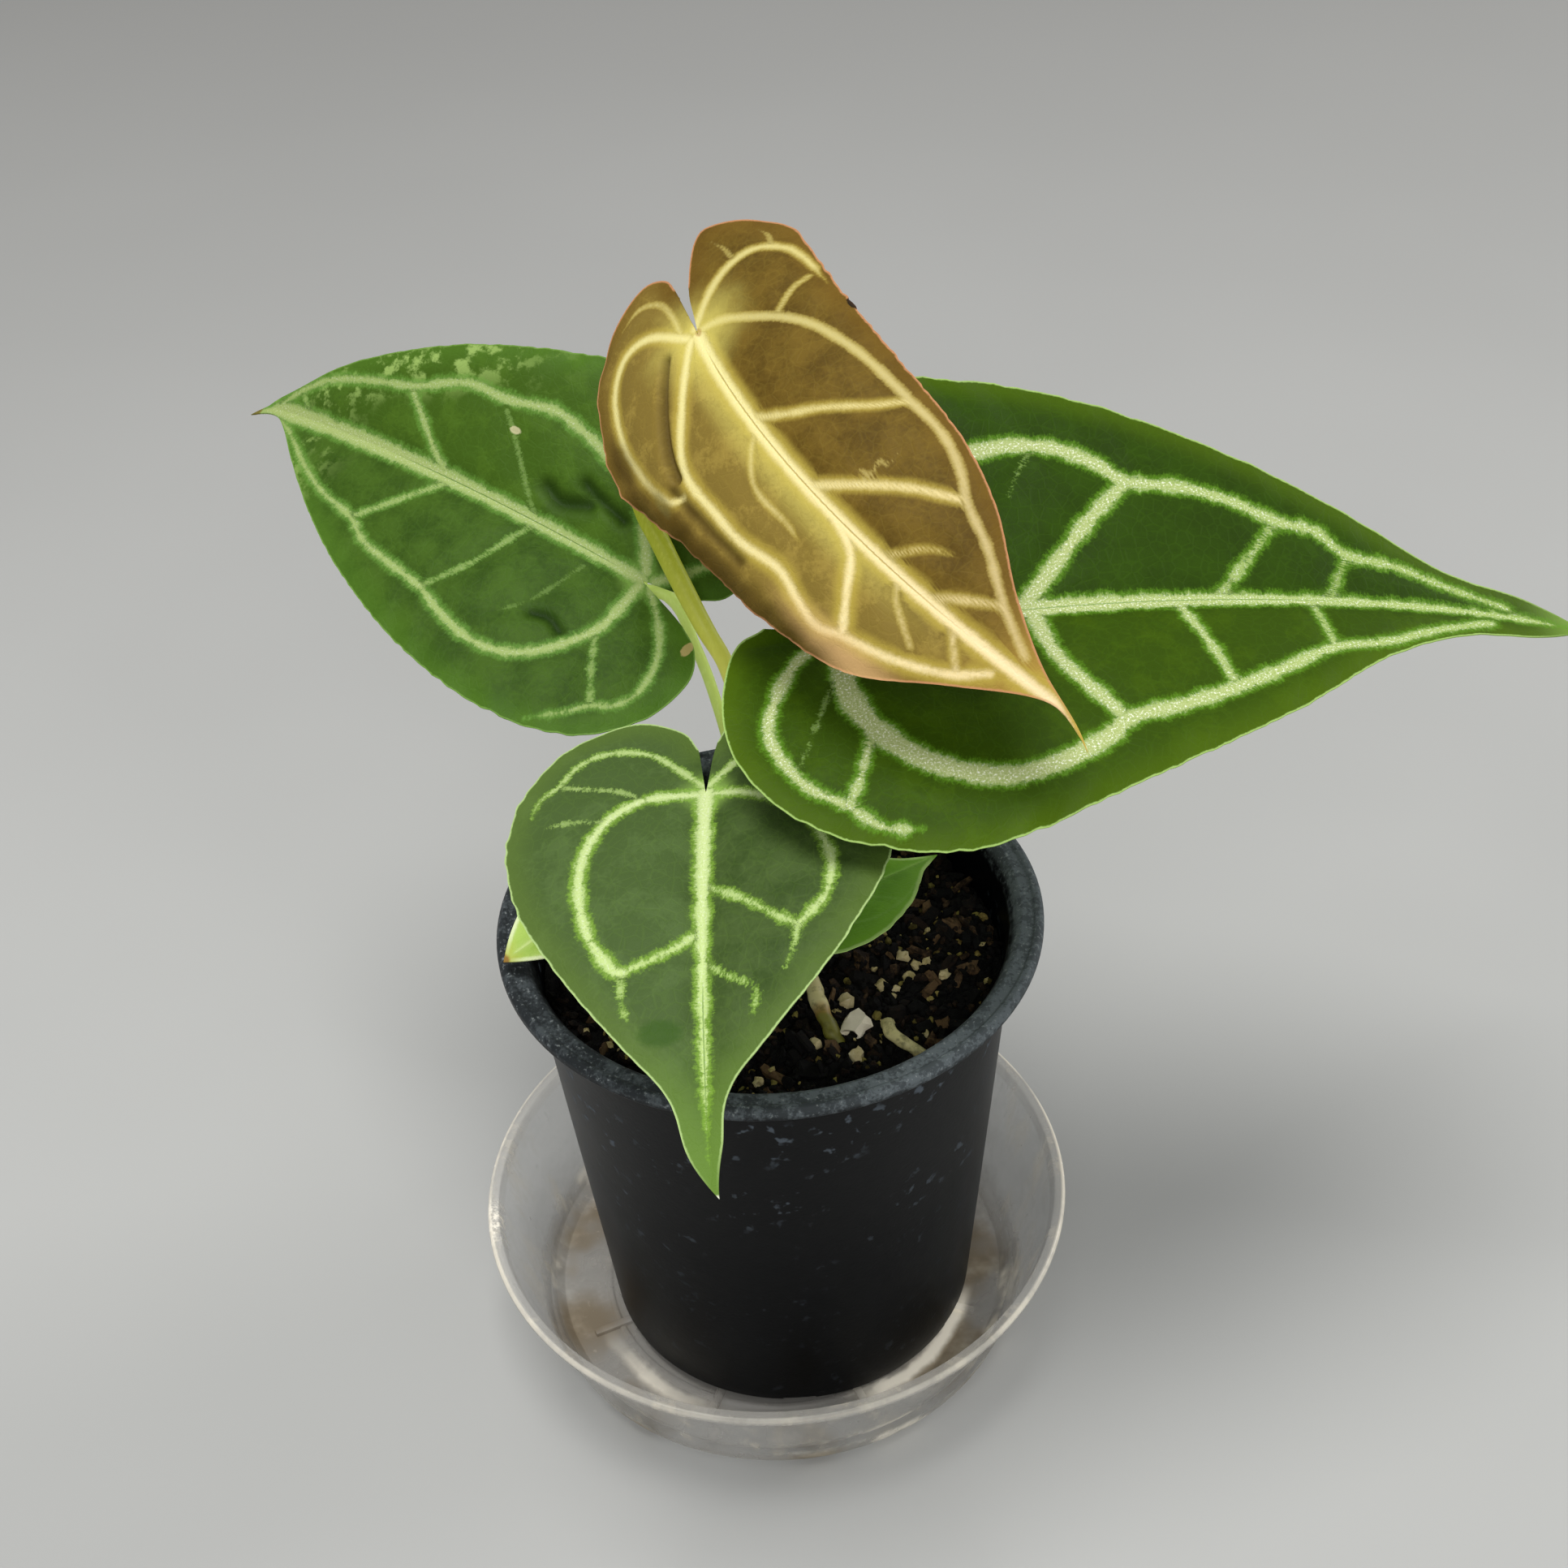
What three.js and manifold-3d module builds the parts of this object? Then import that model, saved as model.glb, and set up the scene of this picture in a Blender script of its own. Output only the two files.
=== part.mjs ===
// A potted crystal anthurium: six heart-shaped leaves on slim stalks, rising from a short crown in a
// black grower's pot of bark mix, which stands in a clear saucer.
// Millimetres, +Z up. The origin is the middle of the saucer's underside, and -Y is the front.
import * as THREE from "three";
import { mergeVertices } from "three/addons/utils/BufferGeometryUtils.js";
import Module from "manifold-3d";

const wasm = await Module();
wasm.setup();

// Driving dimensions of the saucer, pot, soil and crown
const seatGap = 0.3;
const roundSteps = 48;
const saucerSize = { height: 30.2, rimRadius: 64.2, baseRadius: 53.2, wall: 1.2, floor: 1.4, bead: 1.6 };
const saucerRibs = { count: 8, inner: 12, outer: 46, width: 1.8, height: 1.0, root: 0.6 };
const potSize = { x: 2.6, y: 0.6, rimRadius: 55, mouthRadius: 49.8, top: 110.5, wall: 1.3 };
const potWall = { footRadius: 40.2, shoulderRadius: 49.2, shoulder: 106.6, foot: 2.7, floor: 6.4 };
const potFoot = { ring: 3, floorThickness: 1.6, notches: 6, notchWidth: 7, notchHeight: 1.5 };
const potHoles = { count: 6, radius: 3.6, ring: 27 };
const soilSize = { level: 97.6, mound: 1.4, roughness: 1.0, rings: 8, shoulder: 3.5, easing: 0.1 };
const crownSize = { x: 3.5, y: 6.5, radius: 6.9, top: 103.7, bottom: 84, sides: 16 };
const sheathSize = { angles: [65, 143, -32], halfWidth: 3.4, length: 15, flatness: 0.3, lean: 12 };

// Driving dimensions of the leaves
const bladeThickness = 0.8;
const keelDepth = 0.9;
const edgeWave = { height: 0.7, length: 15 };
const widthStations = [0.1, 0.3, 0.5, 0.65, 0.78, 0.9];
const lobeOutline = [
  [0.62, 0.05],
  [0.87, 0.14],
  [1.0, 0.39],
  [0.81, 0.69],
  [0.29, 0.92],
];

// Each blade is measured flat, then laid on a curved surface. A pair of values is left, right of the
// midrib, seen from above with the tip ahead. Angles are in degrees: heading is the compass of the
// midrib from +X towards +Y, climb its slope at the stalk, and bank the roll about it. Droop, sway and
// twist are how much those change by the tip, and tuck is how much the slope changes behind the stalk.
// Fold raises a half, and curl bends it further on. Widths are shares of the half width at the stations,
// and sinus widens or closes the notch between the lobes.
const leaves = {
  top: {
    pole: [-3.8, 42.8, 216.7],
    heading: -75,
    climb: -7,
    bank: 36,
    droop: 19,
    sway: 44,
    twist: 2,
    tuck: -1,
    fold: [7, 1],
    curl: [-34, -25],
    length: 115,
    halfWidth: [30, 30],
    lobe: [23.5, 23],
    widths: [
      [0.9, 0.91, 0.86, 0.67, 0.33, 0.07],
      [1.02, 0.84, 0.75, 0.61, 0.29, 0.03],
    ],
    sinus: [0, 0],
    mesh: { side: 22, rings: 6 },
    colour: 0x9a8238,
  },
  left: {
    pole: [-18.9, 39.9, 165],
    heading: 148,
    climb: 17,
    bank: -28,
    droop: 29,
    sway: -16,
    twist: -13,
    tuck: 0,
    fold: [14, 16],
    curl: [-9, -15],
    length: 115.5,
    halfWidth: [41, 41],
    lobe: [21, 20],
    widths: [
      [0.99, 0.9, 0.7, 0.49, 0.27, 0.06],
      [0.99, 0.86, 0.68, 0.5, 0.32, 0.11],
    ],
    sinus: [0.06, 0],
    mesh: { side: 22, rings: 6 },
    colour: 0x3f7a35,
  },
  right: {
    pole: [21.3, 6.1, 173.2],
    heading: 4,
    climb: 6,
    bank: 13,
    droop: 30,
    sway: 6,
    twist: -1,
    tuck: -6,
    fold: [14, 12],
    curl: [0, -22],
    length: 151.5,
    halfWidth: [52.5, 52.5],
    lobe: [22, 26],
    widths: [
      [1.02, 0.88, 0.62, 0.38, 0.16, 0.09],
      [1.03, 0.85, 0.6, 0.33, 0.17, 0.11],
    ],
    sinus: [0.06, -0.12],
    mesh: { side: 24, rings: 7 },
    colour: 0x2f6b23,
  },
  front: {
    pole: [-7.4, -14.7, 153.5],
    heading: -93,
    climb: -3,
    bank: 7,
    droop: 22,
    sway: 4,
    twist: 3,
    tuck: 0,
    fold: [11, 10],
    curl: [-19, -16],
    length: 83,
    halfWidth: [35.5, 36.5],
    lobe: [22.5, 20],
    widths: [
      [1.0, 0.93, 0.67, 0.38, 0.12, 0.07],
      [1.01, 0.92, 0.66, 0.41, 0.18, 0.1],
    ],
    sinus: [0, 0],
    mesh: { side: 20, rings: 6 },
    colour: 0x4c7a3c,
  },
  rim: {
    pole: [-19, 1.5, 122.5],
    heading: 205,
    climb: -8,
    bank: 0,
    droop: 16,
    sway: 0,
    twist: 0,
    tuck: 0,
    fold: [12, 12],
    curl: [-10, -10],
    length: 35.5,
    halfWidth: [15, 15],
    lobe: [9, 9],
    widths: [
      [1.0, 0.96, 0.86, 0.7, 0.5, 0.26],
      [1.0, 0.96, 0.86, 0.7, 0.5, 0.26],
    ],
    sinus: [0, 0],
    mesh: { side: 13, rings: 4 },
    colour: 0x9dbb5a,
  },
  low: {
    pole: [8, -11.5, 119],
    heading: 28,
    climb: -1,
    bank: -2,
    droop: 14,
    sway: 17,
    twist: 0,
    tuck: 0,
    fold: [14, 14],
    curl: [-8, -8],
    length: 37,
    halfWidth: [14, 17.5],
    lobe: [10, 10],
    widths: [
      [1.0, 0.9, 0.66, 0.42, 0.2, 0.08],
      [1.0, 0.9, 0.66, 0.42, 0.2, 0.08],
    ],
    sinus: [0, 0],
    mesh: { side: 13, rings: 4 },
    colour: 0x4d7a22,
  },
};

// A stalk's route starts on the crown and ends under its blade. Its radii are spread evenly along it,
// from the foot to the knee, the slight swelling under the blade.
const stalks = {
  top: {
    route: [
      [3.5, 6.5, 104],
      [2.2, 9.8, 124],
      [0.2, 15.6, 142],
      [-2.9, 23.1, 155],
      [-6.3, 25.9, 161.5],
      [-10.3, 31.7, 168],
      [-14, 38, 174],
      [-17.6, 43.4, 181],
      [-18.4, 49, 193],
      [-13.6, 51.4, 203.4],
    ],
    radii: [1.8, 1.6, 1.7, 2.0, 2.1, 2.0, 2.2],
    steps: 24,
    colour: 0x8f9a35,
  },
  left: {
    route: [
      [2.2, 10.5, 104],
      [-1, 17, 122],
      [-5, 27.5, 140],
      [-9.1, 34.5, 152],
      [-14, 40.5, 160.5],
    ],
    radii: [1.7, 1.2, 1.1, 1.2, 1.6],
    steps: 16,
    colour: 0x6f9a3a,
  },
  right: {
    route: [
      [7.4, 8, 104],
      [10.5, 13, 125],
      [15, 16, 148],
      [19.5, 13, 164],
    ],
    radii: [1.8, 1.5, 1.5, 1.9],
    steps: 16,
    colour: 0x6f9a3a,
  },
  front: {
    route: [
      [1.4, 2.9, 104],
      [-2, 3.2, 120],
      [-6, -1.5, 141],
    ],
    radii: [1.6, 1.3, 1.2, 1.5],
    steps: 12,
    colour: 0x6f9a3a,
  },
  rim: {
    route: [
      [-0.6, 7, 104],
      [-6, 7.5, 113],
      [-13, 5.5, 119],
    ],
    radii: [1.2, 0.8, 1.0],
    steps: 8,
    colour: 0x8fae4a,
  },
  low: {
    route: [
      [6, 3, 104],
      [7, -2.5, 110],
      [6.5, -8, 114.8],
    ],
    radii: [1.3, 0.9, 1.1],
    steps: 8,
    colour: 0x7f9a3a,
  },
};

// Roots that show above the soil: a thick one from the crown and one that loops out of the mix
const roots = {
  aerial_root: {
    route: [
      [5.6, -2.6, 100.6],
      [7.8, -8, 103.4],
      [10.4, -14.4, 103.2],
      [11.7, -19.4, 101.6],
      [13.3, -23, 99.6],
      [15.2, -26.2, 96.2],
      [16.2, -27.6, 90],
    ],
    radii: [1.7, 1.65, 1.5],
    steps: 14,
    colour: 0x9a9350,
  },
  surface_root: {
    route: [
      [26, -15.6, 92.5],
      [25.4, -18.6, 98.6],
      [23.4, -24.4, 100],
      [26.3, -28.4, 99.8],
      [30.2, -30.4, 98.2],
      [32.2, -31.2, 92.5],
    ],
    radii: [1.1, 1.2, 1.1],
    steps: 10,
    colour: 0xb9a96a,
  },
};

// Pearls of perlite and chips of bark on the soil: the ones that stand out, from the pot's axis, each
// as x, y and radius, and how many more are strewn between them
const pearls = {
  placed: [
    [15.9, -23.2, 3],
    [15.3, -30.7, 1.7],
    [14.3, -15.8, 1.7],
    [26.4, -4, 1.5],
    [28.8, -6, 1.1],
    [31.2, -5.4, 1.1],
    [27.1, -10, 1.3],
    [34.3, -9.9, 1.2],
    [21.6, -11.6, 1.2],
    [7.6, -27.7, 1.3],
    [-3.8, -36.5, 1.3],
  ],
  strewn: 26,
};
const barkChips = 24;

const radians = THREE.MathUtils.degToRad;
const finishes = {
  clear: new THREE.MeshStandardMaterial({
    color: 0xd9dad6,
    roughness: 0.15,
    metalness: 0,
    transparent: true,
    opacity: 0.35,
  }),
  pot: new THREE.MeshStandardMaterial({ color: 0x1b1d20, roughness: 0.45, metalness: 0 }),
  soil: new THREE.MeshStandardMaterial({ color: 0x2a1c14, roughness: 0.95, metalness: 0 }),
  crown: new THREE.MeshStandardMaterial({ color: 0x7a6a3a, roughness: 0.8, metalness: 0 }),
};

function leafFinish(colour) {
  return new THREE.MeshStandardMaterial({ color: colour, roughness: 0.5, metalness: 0 });
}

// Repeatable random numbers from a seed
function seeded(seed) {
  let state = seed;
  return () => {
    state = (state * 1664525 + 1013904223) % 4294967296;
    return state / 4294967296;
  };
}

// Solids and booleans
function toSolid(geometry) {
  const bare = geometry.index ? geometry.toNonIndexed() : geometry.clone();
  bare.deleteAttribute("normal");
  bare.deleteAttribute("uv");
  const merged = mergeVertices(bare, 1e-4);
  const corners = merged.index.array;
  const kept = [];
  for (let i = 0; i < corners.length; i += 3) {
    const [a, b, c] = [corners[i], corners[i + 1], corners[i + 2]];
    if (a !== b && b !== c && c !== a) {
      kept.push(a, b, c);
    }
  }
  return new wasm.Manifold(
    new wasm.Mesh({
      numProp: 3,
      vertProperties: new Float32Array(merged.attributes.position.array),
      triVerts: new Uint32Array(kept),
    }),
  );
}

function toGeometry(solid) {
  const mesh = solid.getMesh();
  const geometry = new THREE.BufferGeometry();
  geometry.setAttribute("position", new THREE.BufferAttribute(mesh.vertProperties, 3));
  geometry.setIndex(new THREE.BufferAttribute(mesh.triVerts, 1));
  geometry.computeVertexNormals();
  return geometry;
}

function joined(solids) {
  return solids.reduce((whole, piece) => whole.add(piece));
}

function largestBody(solid) {
  const bodies = solid.decompose();
  return bodies.reduce((best, body) => (body.volume() > best.volume() ? body : best));
}

// A profile of [radius, height] pairs turned about the Z axis
function turned(profile, steps = roundSteps) {
  const points = profile.map(([radius, height]) => new THREE.Vector2(radius, height));
  const geometry = new THREE.LatheGeometry(points, steps);
  geometry.rotateX(Math.PI / 2);
  return geometry;
}

// A closed surface from rows of points: each row is a ring, and the ends are closed by fans
function skinned(rings, firstPole, lastPole) {
  const points = [firstPole, ...rings.flat(), lastPole];
  const around = rings[0].length;
  const at = (ring, step) => 1 + ring * around + (step % around);
  const last = points.length - 1;
  const faces = [];
  for (let step = 0; step < around; step += 1) {
    faces.push(0, at(0, step + 1), at(0, step));
    for (let ring = 0; ring < rings.length - 1; ring += 1) {
      faces.push(at(ring, step), at(ring, step + 1), at(ring + 1, step + 1));
      faces.push(at(ring, step), at(ring + 1, step + 1), at(ring + 1, step));
    }
    faces.push(last, at(rings.length - 1, step), at(rings.length - 1, step + 1));
  }
  const geometry = new THREE.BufferGeometry().setFromPoints(points);
  geometry.setIndex(faces);
  geometry.computeVertexNormals();
  return geometry;
}

// A round stem along a route, with a level foot or a domed one and a domed upper end
function stem({ route, radii, steps }, { sides = 8, levelFoot = false, swell = 0 } = {}) {
  const curve = new THREE.CatmullRomCurve3(
    route.map((point) => new THREE.Vector3(...point)),
    false,
    "centripetal",
  );
  const frames = curve.computeFrenetFrames(steps, false);
  const radiusAt = (t) => {
    const place = t * (radii.length - 1);
    const index = Math.min(Math.floor(place), radii.length - 2);
    return swell + THREE.MathUtils.lerp(radii[index], radii[index + 1], place - index);
  };
  const ringAt = (centre, frame, radius) =>
    Array.from({ length: sides }, (_, step) => {
      const angle = (2 * Math.PI * step) / sides;
      const out = frames.normals[frame].clone().multiplyScalar(Math.cos(angle) * radius);
      out.addScaledVector(frames.binormals[frame], Math.sin(angle) * radius);
      return out.add(centre);
    });
  const rings = [];
  const start = curve.getPointAt(0);
  const startAlong = frames.tangents[0];
  const startRadius = radiusAt(0);
  if (levelFoot) {
    const ring = ringAt(start, 0, startRadius);
    ring.forEach((point) => {
      point.addScaledVector(startAlong, (start.z - point.z) / startAlong.z);
    });
    rings.push(ring);
  } else {
    const bend = Math.SQRT1_2 * startRadius;
    rings.push(ringAt(start.clone().addScaledVector(startAlong, -bend), 0, bend));
    rings.push(ringAt(start, 0, startRadius));
  }
  for (let step = 1; step <= steps; step += 1) {
    rings.push(ringAt(curve.getPointAt(step / steps), step, radiusAt(step / steps)));
  }
  const end = curve.getPointAt(1);
  const endAlong = frames.tangents[steps];
  const endRadius = radiusAt(1);
  const endBend = Math.SQRT1_2 * endRadius;
  rings.push(ringAt(end.clone().addScaledVector(endAlong, endBend), steps, endBend));
  const foot = levelFoot ? start : start.clone().addScaledVector(startAlong, -startRadius);
  return skinned(rings, foot, end.clone().addScaledVector(endAlong, endRadius));
}

// The curved surface of a blade: x runs along the midrib from the stalk, y across it to the left
function bladeSurface(leaf) {
  const back = 1.1 * Math.max(...leaf.lobe);
  const frameAt = (x) => {
    const ahead = THREE.MathUtils.clamp(x / leaf.length, 0, 1);
    const behind = THREE.MathUtils.clamp(-x / back, 0, 1);
    const heading = radians(leaf.heading + leaf.sway * ahead);
    const climb = radians(leaf.climb - leaf.droop * ahead + leaf.tuck * behind);
    const bank = radians(leaf.bank + leaf.twist * ahead);
    const along = new THREE.Vector3(
      Math.cos(climb) * Math.cos(heading),
      Math.cos(climb) * Math.sin(heading),
      Math.sin(climb),
    );
    const across = new THREE.Vector3(-Math.sin(heading), Math.cos(heading), 0);
    across.applyAxisAngle(along, bank);
    const up = along.clone().cross(across);
    return { along, across, up };
  };
  const midrib = (x) => {
    const point = new THREE.Vector3(...leaf.pole);
    const parts = 24;
    for (let part = 0; part < parts; part += 1) {
      point.addScaledVector(frameAt((x * (part + 0.5)) / parts).along, x / parts);
    }
    return point;
  };
  return (x, y) => {
    const half = y >= 0 ? 0 : 1;
    const width = leaf.halfWidth[half];
    const fold = radians(leaf.fold[half]);
    const curl = radians(leaf.curl[half]) || 1e-4;
    const bend = fold + (curl * Math.abs(y)) / width;
    const reach = (width / curl) * (Math.sin(bend) - Math.sin(fold));
    const rise = (width / curl) * (Math.cos(fold) - Math.cos(bend));
    const { across, up } = frameAt(x);
    const point = midrib(x).addScaledVector(across, Math.sign(y) * reach);
    return point.addScaledVector(up, rise);
  };
}

// The flat outline of one half, from the sinus round the lobe to the tip
function halfOutline(leaf, half) {
  const side = half === 0 ? 1 : -1;
  const width = leaf.halfWidth[half];
  const lobe = lobeOutline.map(([back, out], index) => {
    const spread = index < 2 ? out + leaf.sinus[half] : out;
    return new THREE.Vector3(-back * leaf.lobe[half], side * spread * width, 0);
  });
  const front = widthStations.map((station, index) => {
    return new THREE.Vector3(station * leaf.length, side * leaf.widths[half][index] * width, 0);
  });
  const tip = new THREE.Vector3(leaf.length, 0, 0);
  return new THREE.CatmullRomCurve3([...lobe, ...front, tip], false, "catmullrom", 0.5);
}

// A blade as a closed sheet: a fan of rays from the stalk to the outline, the same on both faces, with
// a keel under the midrib and a slow wave along the edge
function blade(leaf) {
  const surface = bladeSurface(leaf);
  const { side, rings } = leaf.mesh;
  const left = halfOutline(leaf, 0).getSpacedPoints(side);
  const right = halfOutline(leaf, 1).getSpacedPoints(side);
  const edge = [...left, ...right.reverse().slice(1)];
  const shares = Array.from({ length: rings }, (_, ring) => ((ring + 1) / rings) ** 0.8);
  const waveAt = (point, share) => {
    const phase = (2 * Math.PI * (Math.hypot(point.x, point.y) + point.x)) / edgeWave.length;
    const taper = 1 - Math.abs(point.x) / leaf.length;
    return edgeWave.height * share ** 4 * Math.sin(phase) * Math.max(taper, 0);
  };
  const flat = [{ x: 0, y: 0, share: 0, wave: 0 }];
  edge.forEach((point) => {
    shares.forEach((share) => {
      flat.push({ x: point.x * share, y: point.y * share, share, wave: waveAt(point, share) });
    });
  });
  const nudge = 0.4;
  const normalAt = ({ x, y }) => {
    const reach = Math.abs(y) < 1e-6 ? 1e-6 : y;
    const here = surface(x, reach);
    const ahead = surface(x + nudge, reach).sub(here);
    const across = surface(x, reach + nudge * Math.sign(reach)).sub(here);
    return ahead.cross(across.multiplyScalar(Math.sign(reach))).normalize();
  };
  const upper = [];
  const lower = [];
  flat.forEach((place) => {
    const normal = normalAt(place);
    const middle = surface(place.x, place.y).addScaledVector(normal, place.wave);
    const onMidrib = Math.abs(place.y) < 1e-6 && place.x >= 0;
    const keel = onMidrib ? keelDepth * (1 - place.x / leaf.length) : 0;
    upper.push(middle.clone().addScaledVector(normal, bladeThickness / 2));
    lower.push(middle.clone().addScaledVector(normal, -bladeThickness / 2 - keel));
  });
  const count = upper.length;
  const at = (ray, ring) => 1 + ray * rings + ring;
  const faces = [];
  const bothFaces = (a, b, c) => {
    faces.push(a, b, c);
    faces.push(count + a, count + c, count + b);
  };
  for (let ray = 0; ray < edge.length - 1; ray += 1) {
    bothFaces(0, at(ray + 1, 0), at(ray, 0));
    for (let ring = 0; ring < rings - 1; ring += 1) {
      bothFaces(at(ray, ring), at(ray + 1, ring), at(ray + 1, ring + 1));
      bothFaces(at(ray, ring), at(ray + 1, ring + 1), at(ray, ring + 1));
    }
  }
  const border = [0];
  for (let ring = 0; ring < rings; ring += 1) {
    border.push(at(0, ring));
  }
  for (let ray = 1; ray < edge.length; ray += 1) {
    border.push(at(ray, rings - 1));
  }
  for (let ring = rings - 2; ring >= 0; ring -= 1) {
    border.push(at(edge.length - 1, ring));
  }
  border.forEach((from, index) => {
    const to = border[(index + 1) % border.length];
    faces.push(from, to, count + to);
    faces.push(from, count + to, count + from);
  });
  const geometry = new THREE.BufferGeometry().setFromPoints([...upper, ...lower]);
  geometry.setIndex(faces);
  geometry.computeVertexNormals();
  return geometry;
}

// The point where a stalk ends: a domed head just clear of the underside of its blade
function underPole(leaf, headRadius) {
  const surface = bladeSurface(leaf);
  const here = surface(0, 0);
  const ahead = surface(1, 0).sub(here);
  const across = surface(0, 1).sub(surface(0, -1));
  const up = ahead.cross(across).normalize();
  const drop = headRadius + bladeThickness / 2 + keelDepth + seatGap + 0.05;
  return here.addScaledVector(up, -drop).toArray();
}

// Saucer: a flared dish with a beaded rim and short ribs that lift the pot
function saucer() {
  const { height, rimRadius, baseRadius, wall, floor, bead } = saucerSize;
  const dish = toSolid(
    turned([
      [0, 0],
      [baseRadius - 1.5, 0],
      [baseRadius, 1],
      [rimRadius - bead - 0.4, height - 2.4],
      [rimRadius - 0.3, height - 2],
      [rimRadius, height - 1],
      [rimRadius - 0.5, height],
      [rimRadius - bead - 0.9, height],
      [baseRadius - wall, floor + 2.2],
      [baseRadius - wall - 2, floor],
      [0, floor],
    ]),
  );
  const { count, inner, outer, width, height: lift, root } = saucerRibs;
  const ribs = Array.from({ length: count }, (_, index) => {
    const rib = new THREE.BoxGeometry(outer - inner, width, lift + root);
    rib.translate((outer + inner) / 2, 0, floor + (lift - root) / 2);
    rib.rotateZ((2 * Math.PI * (index + 0.5)) / count);
    return toSolid(rib);
  });
  return toGeometry(joined([dish, ...ribs]));
}

// Outer radius of the pot's wall at a height
function potRadius(z) {
  const { footRadius, shoulderRadius, shoulder, foot } = potWall;
  return footRadius + ((shoulderRadius - footRadius) * (z - foot)) / (shoulder - foot);
}

// Pot: a tapering wall with a rolled rim, a raised floor with drainage holes and a notched foot ring
function pot() {
  const { rimRadius, mouthRadius, top, wall } = potSize;
  const { shoulder, foot, floor } = potWall;
  const { ring, floorThickness, notches, notchWidth, notchHeight } = potFoot;
  const body = toSolid(
    turned([
      [0, floor - floorThickness],
      [potRadius(foot) - ring - 0.8, floor - floorThickness],
      [potRadius(foot) - ring, foot],
      [potRadius(foot) - 0.8, foot],
      [potRadius(foot) + 0.1, foot + 1],
      [potRadius(shoulder), shoulder],
      [rimRadius - 0.8, shoulder + 0.4],
      [rimRadius, shoulder + 1.2],
      [rimRadius, top - 1.3],
      [rimRadius - 1.2, top - 0.2],
      [(rimRadius + mouthRadius) / 2, top],
      [mouthRadius, top - 0.7],
      [mouthRadius - 1.6, top - 3.4],
      [potRadius(shoulder - 3) - wall, shoulder - 3],
      [potRadius(floor) - wall, floor],
      [0, floor],
    ]),
  );
  const middleHole = new THREE.CylinderGeometry(potHoles.radius, potHoles.radius, 6, 12);
  middleHole.rotateX(Math.PI / 2);
  middleHole.translate(0, 0, floor);
  const cuts = [toSolid(middleHole)];
  for (let index = 0; index < potHoles.count; index += 1) {
    const angle = (2 * Math.PI * index) / potHoles.count;
    const hole = middleHole.clone();
    hole.translate(potHoles.ring * Math.cos(angle), potHoles.ring * Math.sin(angle), 0);
    cuts.push(toSolid(hole));
  }
  for (let index = 0; index < notches; index += 1) {
    const notch = new THREE.BoxGeometry(4 * ring, notchWidth, 2 * notchHeight);
    notch.translate(potRadius(foot) - 1, 0, foot);
    notch.rotateZ((2 * Math.PI * (index + 0.5)) / notches);
    cuts.push(toSolid(notch));
  }
  return toGeometry(body.subtract(joined(cuts)));
}

// Soil: a plug that fills the pot, with a lumpy top, chips and pearls sunk in it, and plain holes
// where the crown and the roots stand
function soil(clearances) {
  const random = seeded(41);
  const { level, mound, roughness, rings, easing } = soilSize;
  const sideRadius = (z) => potRadius(z) - potSize.wall - seatGap - easing;
  const bottom = potWall.floor + seatGap;
  const shoulder = level - soilSize.shoulder;
  const edge = sideRadius(level) - 0.3;
  const ringAt = (radius, heightAt) =>
    Array.from({ length: roundSteps }, (_, step) => {
      const angle = (2 * Math.PI * step) / roundSteps;
      return new THREE.Vector3(radius * Math.cos(angle), radius * Math.sin(angle), heightAt());
    });
  const rows = [
    ringAt(sideRadius(bottom), () => bottom),
    ringAt(sideRadius(shoulder), () => shoulder),
  ];
  for (let ring = rings; ring >= 1; ring -= 1) {
    const share = ring / rings;
    const crest = level + mound * (1 - share);
    rows.push(ringAt(edge * share, () => crest + roughness * (2 * random() - 1)));
  }
  const body = toSolid(
    skinned(rows, new THREE.Vector3(0, 0, bottom), new THREE.Vector3(0, 0, level + mound)),
  );
  const chunks = [];
  const place = (geometry, x, y, lift) => {
    geometry.rotateX(random() * 3);
    geometry.rotateZ(random() * 6);
    geometry.translate(x, y, level + lift);
    chunks.push(toSolid(geometry));
  };
  const strewn = (margin) => {
    const angle = random() * 2 * Math.PI;
    const radius = (edge - margin) * Math.sqrt(random());
    return [radius * Math.cos(angle), radius * Math.sin(angle)];
  };
  const spots = [...pearls.placed];
  for (let index = 0; index < pearls.strewn; index += 1) {
    spots.push([...strewn(5), 1 + 0.8 * random()]);
  }
  spots.forEach(([x, y, size]) => {
    const pearl = new THREE.IcosahedronGeometry(size, 0);
    pearl.scale(1, 0.8 + 0.3 * random(), 0.9);
    place(pearl, x, y, 0.5 + 0.3 * size);
  });
  for (let index = 0; index < barkChips; index += 1) {
    const chip = new THREE.BoxGeometry(3.5 + 4 * random(), 2.5 + 2 * random(), 2.6);
    place(chip, ...strewn(6), 0.4);
  }
  const filled = joined([body, ...chunks]).translate([potSize.x, potSize.y, 0]);
  return toGeometry(largestBody(filled.subtract(joined(clearances))));
}

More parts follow.
